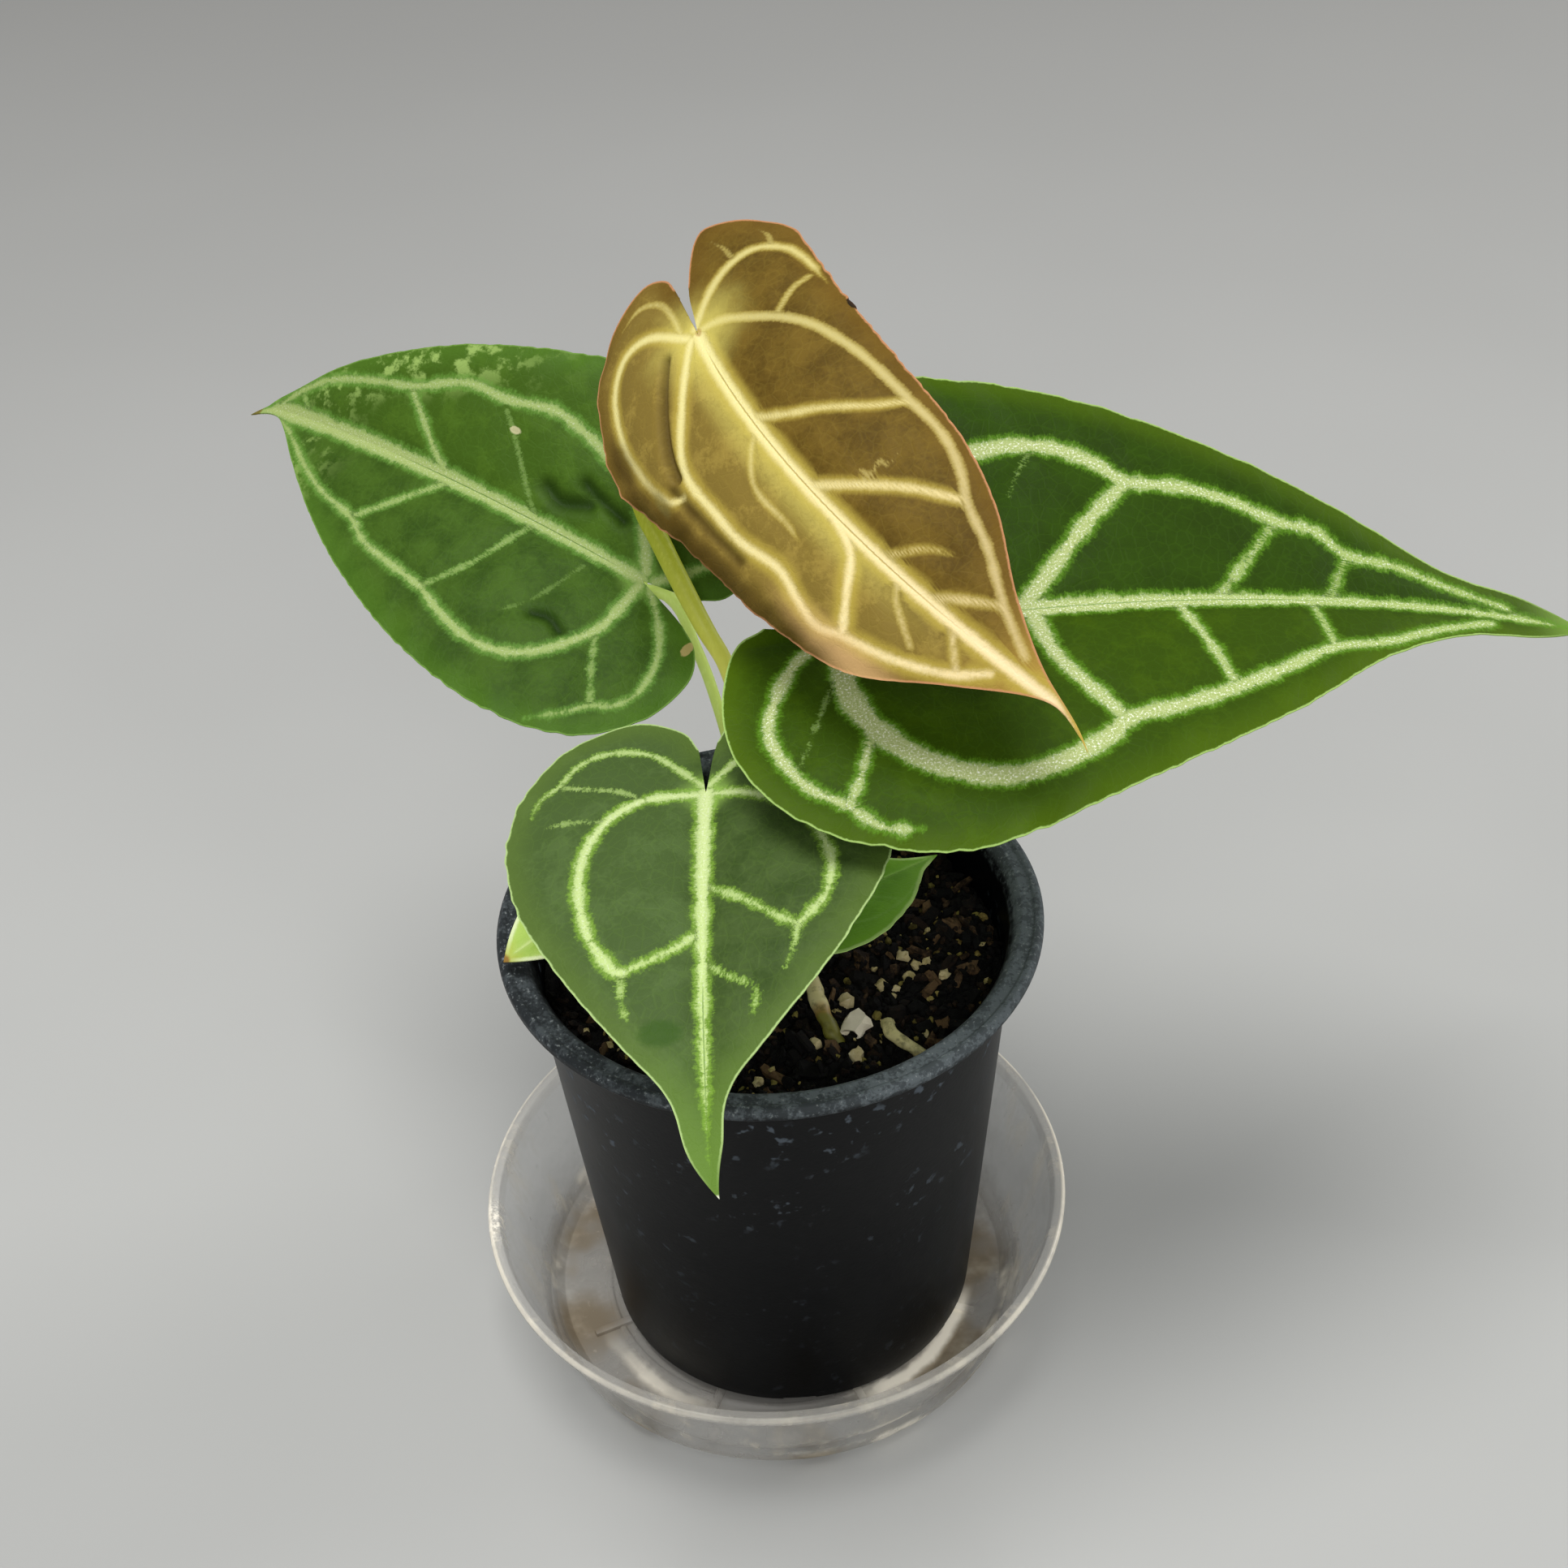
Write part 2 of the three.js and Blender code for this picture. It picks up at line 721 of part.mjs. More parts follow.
// Crown: the short stem that carries the stalks, ringed with old leaf scars, with dry sheaths
function crownBody(swell = 0) {
  const { radius, top, bottom, sides } = crownSize;
  const body = toSolid(
    turned(
      [
        [0, bottom - swell],
        [radius - 2.2 + swell, bottom - swell],
        [radius - 0.6 + swell, bottom + 6],
        [radius - 0.2 + swell, bottom + 13],
        [radius + swell, bottom + 15],
        [radius - 0.7 + swell, bottom + 16],
        [radius + swell, bottom + 17.4],
        [radius - 0.5 + swell, bottom + 18.4],
        [radius - 0.3 + swell, top - 0.6 + swell],
        [radius - 1.2 + swell, top + swell],
        [0, top + swell],
      ],
      sides,
    ),
  );
  const { angles, halfWidth, length, flatness, lean } = sheathSize;
  const sheaths = angles.map((degrees) => {
    const sheath = new THREE.ConeGeometry(halfWidth + swell, length + 2 * swell, 6);
    sheath.scale(1, 1, flatness * (1 + swell));
    sheath.rotateX(Math.PI / 2 - radians(lean));
    sheath.translate(0, radius - 0.2, top - 1.5);
    sheath.rotateZ(radians(degrees - 90));
    return toSolid(sheath);
  });
  return joined([body, ...sheaths]).translate([crownSize.x, crownSize.y, 0]);
}

// Assembly
const plant = new THREE.Group();

function addPiece(name, geometry, material) {
  const mesh = new THREE.Mesh(geometry, material);
  mesh.name = name;
  plant.add(mesh);
  return mesh;
}

addPiece("saucer", saucer(), finishes.clear);
addPiece("pot", pot(), finishes.pot).position.set(potSize.x, potSize.y, 0);

const clearances = [crownBody(seatGap)];
Object.entries(roots).forEach(([name, root]) => {
  clearances.push(toSolid(stem(root, { swell: seatGap + 0.1 })));
  addPiece(name, stem(root), leafFinish(root.colour));
});
addPiece("soil", soil(clearances), finishes.soil);
addPiece("crown", toGeometry(crownBody()), finishes.crown);

Object.entries(leaves).forEach(([name, leaf]) => {
  const stalk = stalks[name];
  const route = [...stalk.route, underPole(leaf, stalk.radii.at(-1))];
  addPiece(`${name}_blade`, blade(leaf), leafFinish(leaf.colour));
  addPiece(`${name}_stalk`, stem({ ...stalk, route }, { levelFoot: true }), leafFinish(stalk.colour));
});

export default plant;
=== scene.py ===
# A potted crystal anthurium: the looks of its leaves, stalks, roots, bark mix, pot and clear saucer,
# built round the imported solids. Metres, +Z up, -Y to the front. Leaves are laid out in millimetres.
import math
import random

import bpy
import numpy as np
from mathutils import Matrix, Vector, noise


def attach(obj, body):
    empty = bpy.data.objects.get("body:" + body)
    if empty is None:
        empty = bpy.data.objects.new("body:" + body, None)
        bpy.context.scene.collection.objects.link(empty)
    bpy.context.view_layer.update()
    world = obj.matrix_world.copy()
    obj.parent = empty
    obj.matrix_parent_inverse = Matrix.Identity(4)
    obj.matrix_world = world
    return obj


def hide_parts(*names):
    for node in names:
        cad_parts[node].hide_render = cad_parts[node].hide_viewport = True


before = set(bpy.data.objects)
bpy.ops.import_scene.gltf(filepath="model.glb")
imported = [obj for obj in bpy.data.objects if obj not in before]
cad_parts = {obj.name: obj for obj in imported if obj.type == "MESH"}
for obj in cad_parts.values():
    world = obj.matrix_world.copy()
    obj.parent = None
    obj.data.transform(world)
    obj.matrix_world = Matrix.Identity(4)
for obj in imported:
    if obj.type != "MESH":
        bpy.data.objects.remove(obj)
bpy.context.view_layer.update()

mm = 0.001
draw = random.Random(7)


# Small helpers for objects and meshes

def deselect():
    if bpy.context.object and bpy.context.object.mode != "OBJECT":
        bpy.ops.object.mode_set(mode="OBJECT")
    bpy.ops.object.select_all(action="DESELECT")


def hold(piece):
    # makes one piece the active and only selected one
    deselect()
    piece.select_set(True)
    bpy.context.view_layer.objects.active = piece


def named(name):
    # gives the active piece and its mesh their name
    piece = bpy.context.object
    piece.name = name
    piece.data.name = name
    return piece


def settle(piece):
    # the piece's place goes into its mesh
    hold(piece)
    bpy.ops.object.transform_apply(location=True, rotation=True, scale=True)


def modify(piece, kind, **settings):
    # adds one modifier and applies it
    hold(piece)
    modifier = piece.modifiers.new(kind.title(), kind)
    for key, value in settings.items():
        setattr(modifier, key, value)
    bpy.ops.object.modifier_apply(modifier=modifier.name)


def smooth(piece, angle):
    hold(piece)
    bpy.ops.object.shade_smooth_by_angle(angle=math.radians(angle))


def edit(piece):
    hold(piece)
    bpy.ops.object.mode_set(mode="EDIT")
    bpy.ops.mesh.select_all(action="SELECT")


def tidyMesh(piece, distance=1e-6):
    # merges doubled points and turns the faces outwards
    edit(piece)
    bpy.ops.mesh.remove_doubles(threshold=distance)
    bpy.ops.mesh.normals_make_consistent(inside=False)
    bpy.ops.object.mode_set(mode="OBJECT")


def joined(pieces, name):
    deselect()
    for piece in pieces:
        piece.select_set(True)
    bpy.context.view_layer.objects.active = pieces[0]
    bpy.ops.object.join()
    return named(name)


def points(piece):
    flat = np.empty(len(piece.data.vertices) * 3)
    piece.data.vertices.foreach_get("co", flat)
    return flat.reshape(-1, 3)


def setPoints(piece, places):
    piece.data.vertices.foreach_set("co", np.asarray(places, dtype=np.float32).ravel())
    piece.data.update()


def keep(piece, name, values, kind="FLOAT"):
    # stores one value for each point, for the materials to read
    attribute = piece.data.attributes.get(name) or piece.data.attributes.new(name, kind, "POINT")
    field = "vector" if kind == "FLOAT_VECTOR" else "value"
    attribute.data.foreach_set(field, np.asarray(values, dtype=np.float32).ravel())


def onPlant(piece, slot, *nodes):
    # the piece rides with the one body, and replaces the solids that are named
    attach(piece, "root")
    if nodes:
        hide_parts(*nodes)


# Small helpers for curves

def smoothRoute(route, parts=6):
    # a curve through all the points of a route
    route = np.array(route, dtype=float)
    before = 2 * route[0] - route[1]
    after = 2 * route[-1] - route[-2]
    ends = np.vstack([before, route, after])
    curve = []
    for a, b, c, d in zip(ends[:-3], ends[1:-2], ends[2:-1], ends[3:]):
        for t in np.arange(parts) / parts:
            bend = 2 * b + (c - a) * t + (2 * a - 5 * b + 4 * c - d) * t**2 + (3 * b - a - 3 * c + d) * t**3
            curve.append(bend / 2)
    curve.append(route[-1])
    return np.array(curve)


def evenly(curve, count):
    # count points at even steps along a curve
    lengths = np.concatenate([[0], np.cumsum(np.linalg.norm(np.diff(curve, axis=0), axis=1))])
    at = np.linspace(0, lengths[-1], count)
    return np.stack([np.interp(at, lengths, curve[:, axis]) for axis in range(curve.shape[1])], axis=1)


def distanceTo(places, curve):
    # the distance of each place to a curve, and how far along the curve it is nearest, from 0 to 1
    best = np.full(len(places), 1e9)
    along = np.zeros(len(places))
    steps = len(curve) - 1
    for index, (start, end) in enumerate(zip(curve[:-1], curve[1:])):
        way = end - start
        share = np.clip((places - start) @ way / max(way @ way, 1e-12), 0, 1)
        distance = np.linalg.norm(places - start - share[:, None] * way, axis=1)
        nearer = distance < best
        best = np.where(nearer, distance, best)
        along = np.where(nearer, (index + share) / steps, along)
    return best, along


def lumpy(place, lumps):
    # noise of several sizes, each with its scale and its height
    return sum(noise.noise(place * scale) * height for scale, height in lumps)


def ease(values, low, high):
    # goes smoothly from 0 to 1 while the values go from low to high
    share = np.clip((values - low) / (high - low), 0, 1)
    return share * share * (3 - 2 * share)


# Materials

def paint(code):
    # a colour as in a paint box, "#rrggbb", to the linear values that Blender holds
    parts = [int(code[i:i + 2], 16) / 255 for i in (1, 3, 5)]
    linear = [part / 12.92 if part <= 0.04045 else ((part + 0.055) / 1.055) ** 2.4 for part in parts]
    return (*linear, 1.0)


class Value:
    # one socket of a material, so that shader maths reads as plain maths
    def __init__(self, finish, socket):
        self.finish = finish
        self.socket = socket

    def maths(self, operation, first, second=0.0):
        return self.finish.add("ShaderNodeMath", {"operation": operation}, {0: first, 1: second})

    def __abs__(self):
        return self.maths("ABSOLUTE", self)

    def most(self, other):
        return self.maths("MAXIMUM", self, other)

    def least(self, other):
        return self.maths("MINIMUM", self, other)

    def ramp(self, low, high, start=0.0, end=1.0):
        # goes smoothly from start to end while this value goes from low to high
        return self.finish.add("ShaderNodeMapRange", {"interpolation_type": "SMOOTHSTEP"},
                               {0: self, 1: low, 2: high, 3: start, 4: end})

    def span(self, low, high, start=0.0, end=1.0):
        # a ramp between two places in millimetres
        return self.ramp(low * mm, high * mm, start, end)


def operator(operation, swapped):
    # a + b, or the same with the sides swapped where a plain number stands first
    def act(value, other):
        sides = (other, value) if swapped else (value, other)
        return value.maths(operation, *sides)
    return act


for sign, operation in (("add", "ADD"), ("sub", "SUBTRACT")):
    setattr(Value, f"__{sign}__", operator(operation, False))
    setattr(Value, f"__r{sign}__", operator(operation, True))
for sign, operation in (("mul", "MULTIPLY"), ("truediv", "DIVIDE"), ("pow", "POWER")):
    setattr(Value, f"__{sign}__", operator(operation, False))


class Finish:
    # a material in the making
    def __init__(self, name, **constants):
        self.material = bpy.data.materials.new(name)
        self.material.use_nodes = True
        self.tree = self.material.node_tree
        self.shader = self.tree.nodes["Principled BSDF"]
        self.set(**constants)

    def add(self, kind, settings=None, inputs=None, output=0):
        node = self.tree.nodes.new(kind)
        for key, value in (settings or {}).items():
            setattr(node, key, value)
        for key, value in (inputs or {}).items():
            self.feed(node.inputs[key], value)
        return Value(self, node.outputs[output])

    def feed(self, socket, value):
        # a socket takes another node's value, a colour code or a plain value
        if isinstance(value, Value):
            self.tree.links.new(value.socket, socket)
        else:
            socket.default_value = paint(value) if isinstance(value, str) else value

    def set(self, **sockets):
        # baseColor feeds Base Color, and so on
        for key, value in sockets.items():
            name = "".join(" " + letter if letter.isupper() else letter for letter in key).title()
            self.feed(self.shader.inputs[name.replace("Ior", "IOR")], value)

    def place(self):
        return self.add("ShaderNodeTexCoord", output="Object")

    def read(self, name, output="Fac"):
        return self.add("ShaderNodeAttribute", {"attribute_name": name}, output=output)

    def part(self, vector, axis):
        return self.add("ShaderNodeSeparateXYZ", inputs={0: vector}, output=axis)

    def noise(self, place, scale, detail=2.0, roughness=0.5):
        inputs = {"Vector": place, "Scale": scale, "Detail": detail, "Roughness": roughness}
        return self.add("ShaderNodeTexNoise", inputs=inputs)

    def stretched(self, place, sizes):
        return self.add("ShaderNodeMapping", inputs={"Vector": place, "Scale": sizes})

    def mix(self, first, second, share):
        return self.add("ShaderNodeMix", {"data_type": "RGBA"}, {0: share, 6: first, 7: second}, output=2)

    def bump(self, height, strength, distance):
        inputs = {"Height": height, "Strength": strength, "Distance": distance}
        self.set(normal=self.add("ShaderNodeBump", inputs=inputs))


# The camera, from the photograph: its place in millimetres, its angles in degrees and its lens
view = {"place": (7.06, -343.27, 422.19), "down": 39.119, "roll": -3.39, "lens": 52.93}


def addCamera():
    down, roll = math.radians(view["down"]), math.radians(view["roll"])
    ahead = Vector((0, math.cos(down), -math.sin(down)))
    top = Vector((0, math.sin(down), math.cos(down)))
    level = Vector((1, 0, 0))
    right = math.cos(roll) * level + math.sin(roll) * top
    upward = math.cos(roll) * top - math.sin(roll) * level
    bpy.ops.object.camera_add()
    camera = named("camera")
    turn = Matrix((right, upward, -ahead)).transposed().to_4x4()
    camera.matrix_world = Matrix.Translation(Vector(view["place"]) * mm) @ turn
    camera.data.lens = view["lens"]
    camera.data.sensor_width = 36
    camera.data.clip_start = 0.01
    camera.data.clip_end = 20
    bpy.context.scene.camera = camera


# A pale floor and soft studio light: each lamp's place, what it faces, its size in metres and its power
studio = {
    "floorSize": 12,
    "floorColours": ("#afafac", "#b5b5b2"),
    "floorFarShade": "#959491",
    "skyColour": "#e4e6e8",
    "sky": 0.5,
    "lamps": {
        "softbox": {"at": (-0.22, -0.05, 1.9), "to": (0, 0, 0.1), "size": 0.9, "power": 24},
        "fill": {"at": (-0.1, -1.5, 1.3), "to": (0, -0.1, 0.05), "size": 1.0, "power": 9},
        "side": {"at": (1.4, 0.5, 0.7), "to": (0, 0, 0.1), "size": 0.7, "power": 7},
    },
}


def addStudio():
    bpy.ops.mesh.primitive_plane_add(size=studio["floorSize"], location=(0, 0, -0.1 * mm))
    floor = named("floor")
    finish = Finish("floor", roughness=0.9, specularIorLevel=0.2)
    mottle = finish.noise(finish.place(), 3.0, 3.0)
    near = finish.mix(*studio["floorColours"], mottle.ramp(0.35, 0.65))
    # the floor is painted darker towards the back: painted shade, a falloff of light
    far = finish.part(finish.place(), "Y").ramp(-0.1, 1.1)
    finish.set(baseColor=finish.mix(near, studio["floorFarShade"], far))
    floor.data.materials.append(finish.material)
    for name, lamp in studio["lamps"].items():
        bpy.ops.object.light_add(type="AREA", location=lamp["at"])
        light = named(name)
        light.data.shape = "DISK"
        light.data.size = lamp["size"]
        light.data.energy = lamp["power"]
        aim = Vector(lamp["to"]) - Vector(lamp["at"])
        light.rotation_euler = aim.to_track_quat("-Z", "Y").to_euler()
    world = bpy.data.worlds.new("sky")
    world.use_nodes = True
    background = world.node_tree.nodes["Background"]
    background.inputs["Color"].default_value = paint(studio["skyColour"])
    background.inputs["Strength"].default_value = studio["sky"]
    bpy.context.scene.world = world
    bpy.context.scene.view_settings.view_transform = "Standard"


# Leaves. Each blade is measured flat, in millimetres: x along the midrib from the stalk, y across it to
# the left. A pair of values is left, right of the midrib. Angles are in degrees: heading is the compass of
# the midrib from +X towards +Y, climb its slope, and bank the roll about it. Droop, sway and twist are how
# much those change by the tip, and tuck how the slope changes behind the stalk. Fold raises a half, curl
# bends it further on, and hook shifts the last of the tip sideways. Widths are shares of halfWidth at the
# stations along the leaf, and sinus moves the start of a lobe out from the midrib. Quilt is how far the
# panels between the veins stand up.
# A vein is its half width at its start and end, its strength and its route, and veinScale goes with all
# those widths. The midrib fades out from a share of the length on, and bow bends it and its veins sideways.
# A crease is its depth, width and route, and a roll turns a margin down; both get painted shade. A mark is
# a painted spot: its place, half length, half width, colour and strength, and how far out it stays full.
# A vein that ends further than joined from all others thins out over its free end, and apart keeps two
# veins from fraying alike.
bladeForm = {"thickness": 0.5, "offset": -0.2, "edgeShare": 0.45, "edgeWidth": 2.5, "ridge": 0.35,
             "keel": 0.55, "bowReach": 18}
edgeWave = {"height": 0.5, "length": 15, "ripple": 0.22}
veinForm = {"freeEnd": 6, "thinning": 1.3, "joined": 3.4, "apart": 40}
widthStations = [0.1, 0.3, 0.5, 0.65, 0.78, 0.9]
lobeOutline = [(0.62, 0.05), (0.87, 0.14), (1.0, 0.39), (0.81, 0.69), (0.29, 0.92)]
plainForm = {"rows": 90, "columns": 150, "sinus": (0, 0), "tuck": 0, "hook": 0, "bow": 0, "fade": 0.9,
             "veinScale": 1, "lobes": (lobeOutline, lobeOutline), "creases": [], "marks": []}

topLeaf = {
    **plainForm,
    "pole": (-3.8, 42.8, 216.7), "heading": -75, "climb": -7, "bank": 36,
    "droop": 19, "sway": 44, "twist": 2, "tuck": -1, "fold": (7, 1), "curl": (-34, -25),
    "length": 115, "halfWidth": (30, 30), "lobe": (23.5, 23),
    "widths": ((0.9, 0.91, 0.86, 0.67, 0.33, 0.07), (1.02, 0.84, 0.75, 0.61, 0.29, 0.03)),
    "lobes": (
        [(0.57, 0.08), (0.8, 0.16), (0.98, 0.25), (1.03, 0.36), (0.84, 0.62), (0.64, 0.77), (0.38, 0.86)],
        [(0.69, 0.01), (0.87, 0.035), (1.0, 0.17), (0.94, 0.38), (0.75, 0.66), (0.43, 0.87)],
    ),
    "midrib": (1.5, 1.1), "veinScale": 0.72, "quilt": 0.5, "hook": -3.6,
    "veins": [
        (1.4, 0.9, 0.5, [(-1, 0), (1.4, 5.4), (6.9, 11.2), (12.1, 15.8), (18.5, 19.4), (28.7, 22.2),
            (38, 23.2), (46.7, 23.4), (56, 23.3), (64.6, 20.7), (70.7, 17), (78.8, 13.7), (84.9, 9.9),
            (89, 7.3), (97, 3)]),
        (1.5, 0.7, 0.65, [(-2.1, 0), (-7.6, 5.9), (-10.5, 11.5), (-10.6, 17.3), (-6.3, 22.3), (0.3, 24.7),
            (9, 25.5)]),
        (1.0, 0.8, 0.75, [(26, 0), (28.7, 2.6), (32.4, 6.7), (36, 11.3), (42.5, 18), (46.2, 22.9)]),
        (1.2, 1.0, 0.8, [(46, 0), (49.3, 3.2), (55.3, 8.3), (61.5, 12.8), (69.1, 16.7)]),
        (0.6, 0.4, 0.7, [(65.5, 0), (67.2, 1.9), (71.2, 6.5), (75.4, 8.7)]),
        (0.9, 0.7, 0.7, [(77.6, 0), (79.6, 2.3), (84.1, 5.1), (88.1, 7.4)]),
        (0.6, 0.5, 0.6, [(9.3, 15.3), (5.8, 19.8), (4.8, 23.3)]),
        (1.4, 1.0, 0.95, [(-0.2, -1.7), (6.2, -5.8), (13, -10), (20.9, -14.8), (26.8, -16.1), (34.8, -15.7),
            (43.4, -15.4), (52.8, -13.5), (59.3, -14.8), (65.2, -15.8), (70.2, -14), (79.4, -11.3),
            (88.6, -7.1), (94, -2.7)]),
        (1.5, 0.8, 0.85, [(-1.4, -2.2), (-9.7, -9.1), (-11.2, -15.9), (-5.8, -21.4), (5, -24.1),
            (15.4, -23.9), (24.9, -21.9), (27.1, -18.7)]),
        (0.6, 0.4, 0.6, [(29, 0), (31.9, -3.4), (38.4, -7.1), (47.9, -7), (52.5, -7.6)]),
        (1.2, 1.1, 1.0, [(52, 0), (60.7, -2.3), (65.9, -8.3), (69.8, -13.5)]),
        (0.6, 0.4, 0.55, [(71, 0), (73, -3.1), (77.2, -5.7), (80.7, -7.7)]),
        (0.8, 0.6, 0.7, [(83, 0), (84.5, -1.3), (89.6, -6.3)]),
        (0.8, 0.5, 0.5, [(-4, -3), (-10, -3), (-15.5, -4.4), (-18.6, -8.5), (-17.5, -14)]),
        (0.5, 0.3, 0.4, [(-10.3, 12.5), (-15, 12.2), (-19.5, 10.5)]),
        (0.5, 0.3, 0.4, [(-8.5, 20), (-12.5, 20.5), (-15.5, 19.5)]),
        (0.3, 0.3, 0.45, [(51.6, 8.7), (53.6, 9.2), (52.6, 12.1), (54.5, 12.5), (53.9, 15.9)]),
    ],
    "creases": [
        (1.9, 1.1, [(-0.8, -8.1), (5.6, -11.5), (12.1, -14.6), (18.1, -17), (23, -18)]),
        (0.7, 1.3, [(24, -20), (34, -18.8), (46, -17.8)]),
    ],
    "roll": {"side": -1, "from": 8, "to": 78, "ends": 12, "width": 6.5, "depth": 2.4},
    # the two dark brown marks along the rolled -y margin, at 9 and 32 mm, are painted shade of the roll
    "marks": [
        (17.6, 27.4, 1.8, 1.0, "#1c1509", 0.95, 0.9), (-0.6, 0.3, 1.3, 0.9, "#a87c38", 0.6, 0.5),
        (76, -16.5, 24, 4.8, "#dcb27a", 0.62, 0.05), (9, -26.5, 10, 3.2, "#43310c", 0.8, 0.2),
        (32, -24.0, 25, 3.4, "#5c4612", 0.65, 0.1), (24, -23.3, 4.0, 1.6, "#77703e", 0.45, 0.4),
    ],
}

leftLeaf = {
    **plainForm,
    "pole": (-18.9, 39.9, 165), "heading": 148, "climb": 17, "bank": -28,
    "droop": 29, "sway": -16, "twist": -13, "fold": (14, 16), "curl": (-9, -15),
    "length": 113, "halfWidth": (41, 41), "lobe": (21, 20), "sinus": (0.06, 0),
    "widths": ((0.99, 0.9, 0.7, 0.49, 0.27, 0.06), (0.99, 0.86, 0.68, 0.5, 0.32, 0.11)),
    "midrib": (1.5, 2.3), "columns": 160, "veinScale": 0.82, "quilt": 0.35, "hook": 3.2,
    "veins": [
        (1.4, 0.6, 1, [(-0.4, 1.5), (-0.2, 9.8), (0.9, 15.5), (6.6, 23.9), (13.5, 28.5), (21.5, 29.3),
            (30.3, 27.1), (37.6, 24.3), (48.3, 22.4), (56.2, 20.7), (63.2, 17), (74.3, 14.5), (84.9, 10.2),
            (95.8, 4.5), (104, 2)]),
        (1.0, 0.5, 0.9, [(-2.6, 1), (-8.7, 6.9), (-13, 13.8), (-14.1, 21.6), (-11.9, 26.8), (-7.9, 29.4),
            (-4.2, 33.6), (0.8, 38.2)]),
        (0.7, 0.5, 0.7, [(-0.3, 16.7), (-2.9, 21.6), (-7.5, 28.8)]),
        (1.0, 0.8, 0.9, [(48, 0), (49.9, 2.6), (56.5, 10.2), (62.4, 16.6)]),
        (0.8, 0.6, 0.65, [(25, 0), (27.2, 4.1), (31.1, 14.3), (36.8, 23.5)]),
        (0.4, 0.3, 0.25, [(11.5, 4), (14.9, 14.7), (19.6, 21.3)]),
        (1.6, 0.8, 1, [(0, -2), (4, -8), (10.5, -15), (20.9, -19.2), (27.4, -20.9), (34, -21.9),
            (44.2, -19.8), (55, -19.5), (66, -14.8), (76.3, -12.8), (89.4, -9.8), (97.8, -5.6),
            (104.5, -1.1)]),
        (1.0, 0.8, 1, [(46, 0), (50.1, -0.8), (55.4, -4.2), (60.7, -8.7), (66.1, -13.2)]),
        (0.6, 0.5, 0.35, [(26, 0), (31.8, -5.9), (38.7, -13.3), (43.4, -17.7)]),
        (0.6, 0.5, 0.7, [(92, 0), (94.4, -2.3), (97.7, -5.2)]),
        (1.4, 0.6, 0.9, [(-2.6, -1), (-8.7, -6.9), (-13, -13.8), (-14.1, -21.6), (-11.9, -26.8), (-6, -32),
            (1, -37)]),
    ],
    "creases": [
        (1.6, 1.9, [(27.5, -7.5), (23, -6), (17.5, -8)]),
        (1.3, 1.5, [(20, -11.5), (15, -10), (9.5, -8.6)]),
        (0.8, 1.3, [(6.7, 18.9), (10, 17.6), (13.5, 18.2)]),
    ],
    "marks": [(112.5, 0, 2.6, 2.0, "#6d5a1c", 0.85, 0.7), (-16.6, 8.5, 1.0, 2.0, "#bda66e", 0.75, 0.85),
              (39.5, -14.8, 1.4, 0.8, "#d0c79c", 0.7, 0.8)],
}

rightLeaf = {
    **plainForm,
    "pole": (21.3, 6.1, 173.2), "heading": 4, "climb": 6, "bank": 13,
    "droop": 30, "sway": 6, "twist": -1, "tuck": -6, "fold": (14, 12), "curl": (0, -22),
    "length": 151.5, "halfWidth": (52.5, 52.5), "lobe": (22, 26), "sinus": (0.06, -0.12),
    "widths": ((1.02, 0.88, 0.62, 0.38, 0.16, 0.09), (1.03, 0.85, 0.6, 0.33, 0.17, 0.11)),
    "midrib": (2.9, 0.9), "rows": 100, "columns": 200, "veinScale": 0.92, "quilt": 0.45, "bow": 1.5,
    "veins": [
        (2.5, 0.8, 1, [(-1, 2), (-1.5, 12), (3, 22), (11, 30), (20, 34), (29.8, 34.6), (35.6, 35.2),
            (43.8, 33.8), (51.6, 29.5), (56.3, 25.5), (66.9, 23.9), (76.2, 20.8), (84.5, 16.7),
            (92.2, 15.2), (97.7, 10.6), (107.4, 9), (118.9, 5.3), (132, 2.2)]),
        (1.9, 1.5, 1, [(31, 0), (34.1, 3), (44.8, 14.5), (56.3, 25.5)]),
        (1.0, 0.8, 1, [(68, 0), (70.5, 1.8), (75.4, 7.2), (83.1, 15.4)]),
        (0.9, 0.8, 1, [(91, 0), (93.1, 2.3), (97.7, 10.6)]),
        (0.4, 0.2, 0.4, [(39.3, 33.7), (36, 28.5), (33.8, 24.2)]),
        (2.7, 1.1, 1, [(-0.5, -2), (-3.2, -14.1), (0.5, -26.1), (8.7, -35.5), (19.6, -40.5), (29.5, -39.8),
            (40.3, -35.2), (45.1, -31.4), (55.8, -29.1), (65.9, -25.8), (76.7, -21.1), (88.4, -15),
            (99.3, -12.7), (112, -7.5), (126, -3)]),
        (1.9, 1.5, 1, [(33.4, 0), (35.7, -15.1), (43.5, -29.9)]),
        (1.2, 1.0, 1, [(61, 0), (62.2, -5.1), (64.1, -13.4), (65.9, -23.7)]),
        (0.8, 0.8, 1, [(87.6, 0), (88, -3.4), (88.4, -15)]),
        (1.6, 0.8, 1, [(-2, -1), (-10.3, -5.3), (-16.1, -15.5), (-18.2, -24.8), (-13.7, -35.6),
            (-6.8, -41.6), (-1.1, -47.3), (5.4, -48.7)]),
        (1.0, 0.8, 1, [(-0.1, -26.6), (-3.4, -35.3), (-6.4, -41.7)]),
        (0.35, 0.25, 0.35, [(-4.3, -10.8), (-8.8, -21.3), (-13.7, -32)]),
        (1.6, 0.7, 1, [(-2, 1), (-9.3, 5.3), (-14, 15.5), (-15.5, 24.8), (-11.7, 34), (-5, 41), (1, 46),
            (7, 47.5)]),
    ],
}

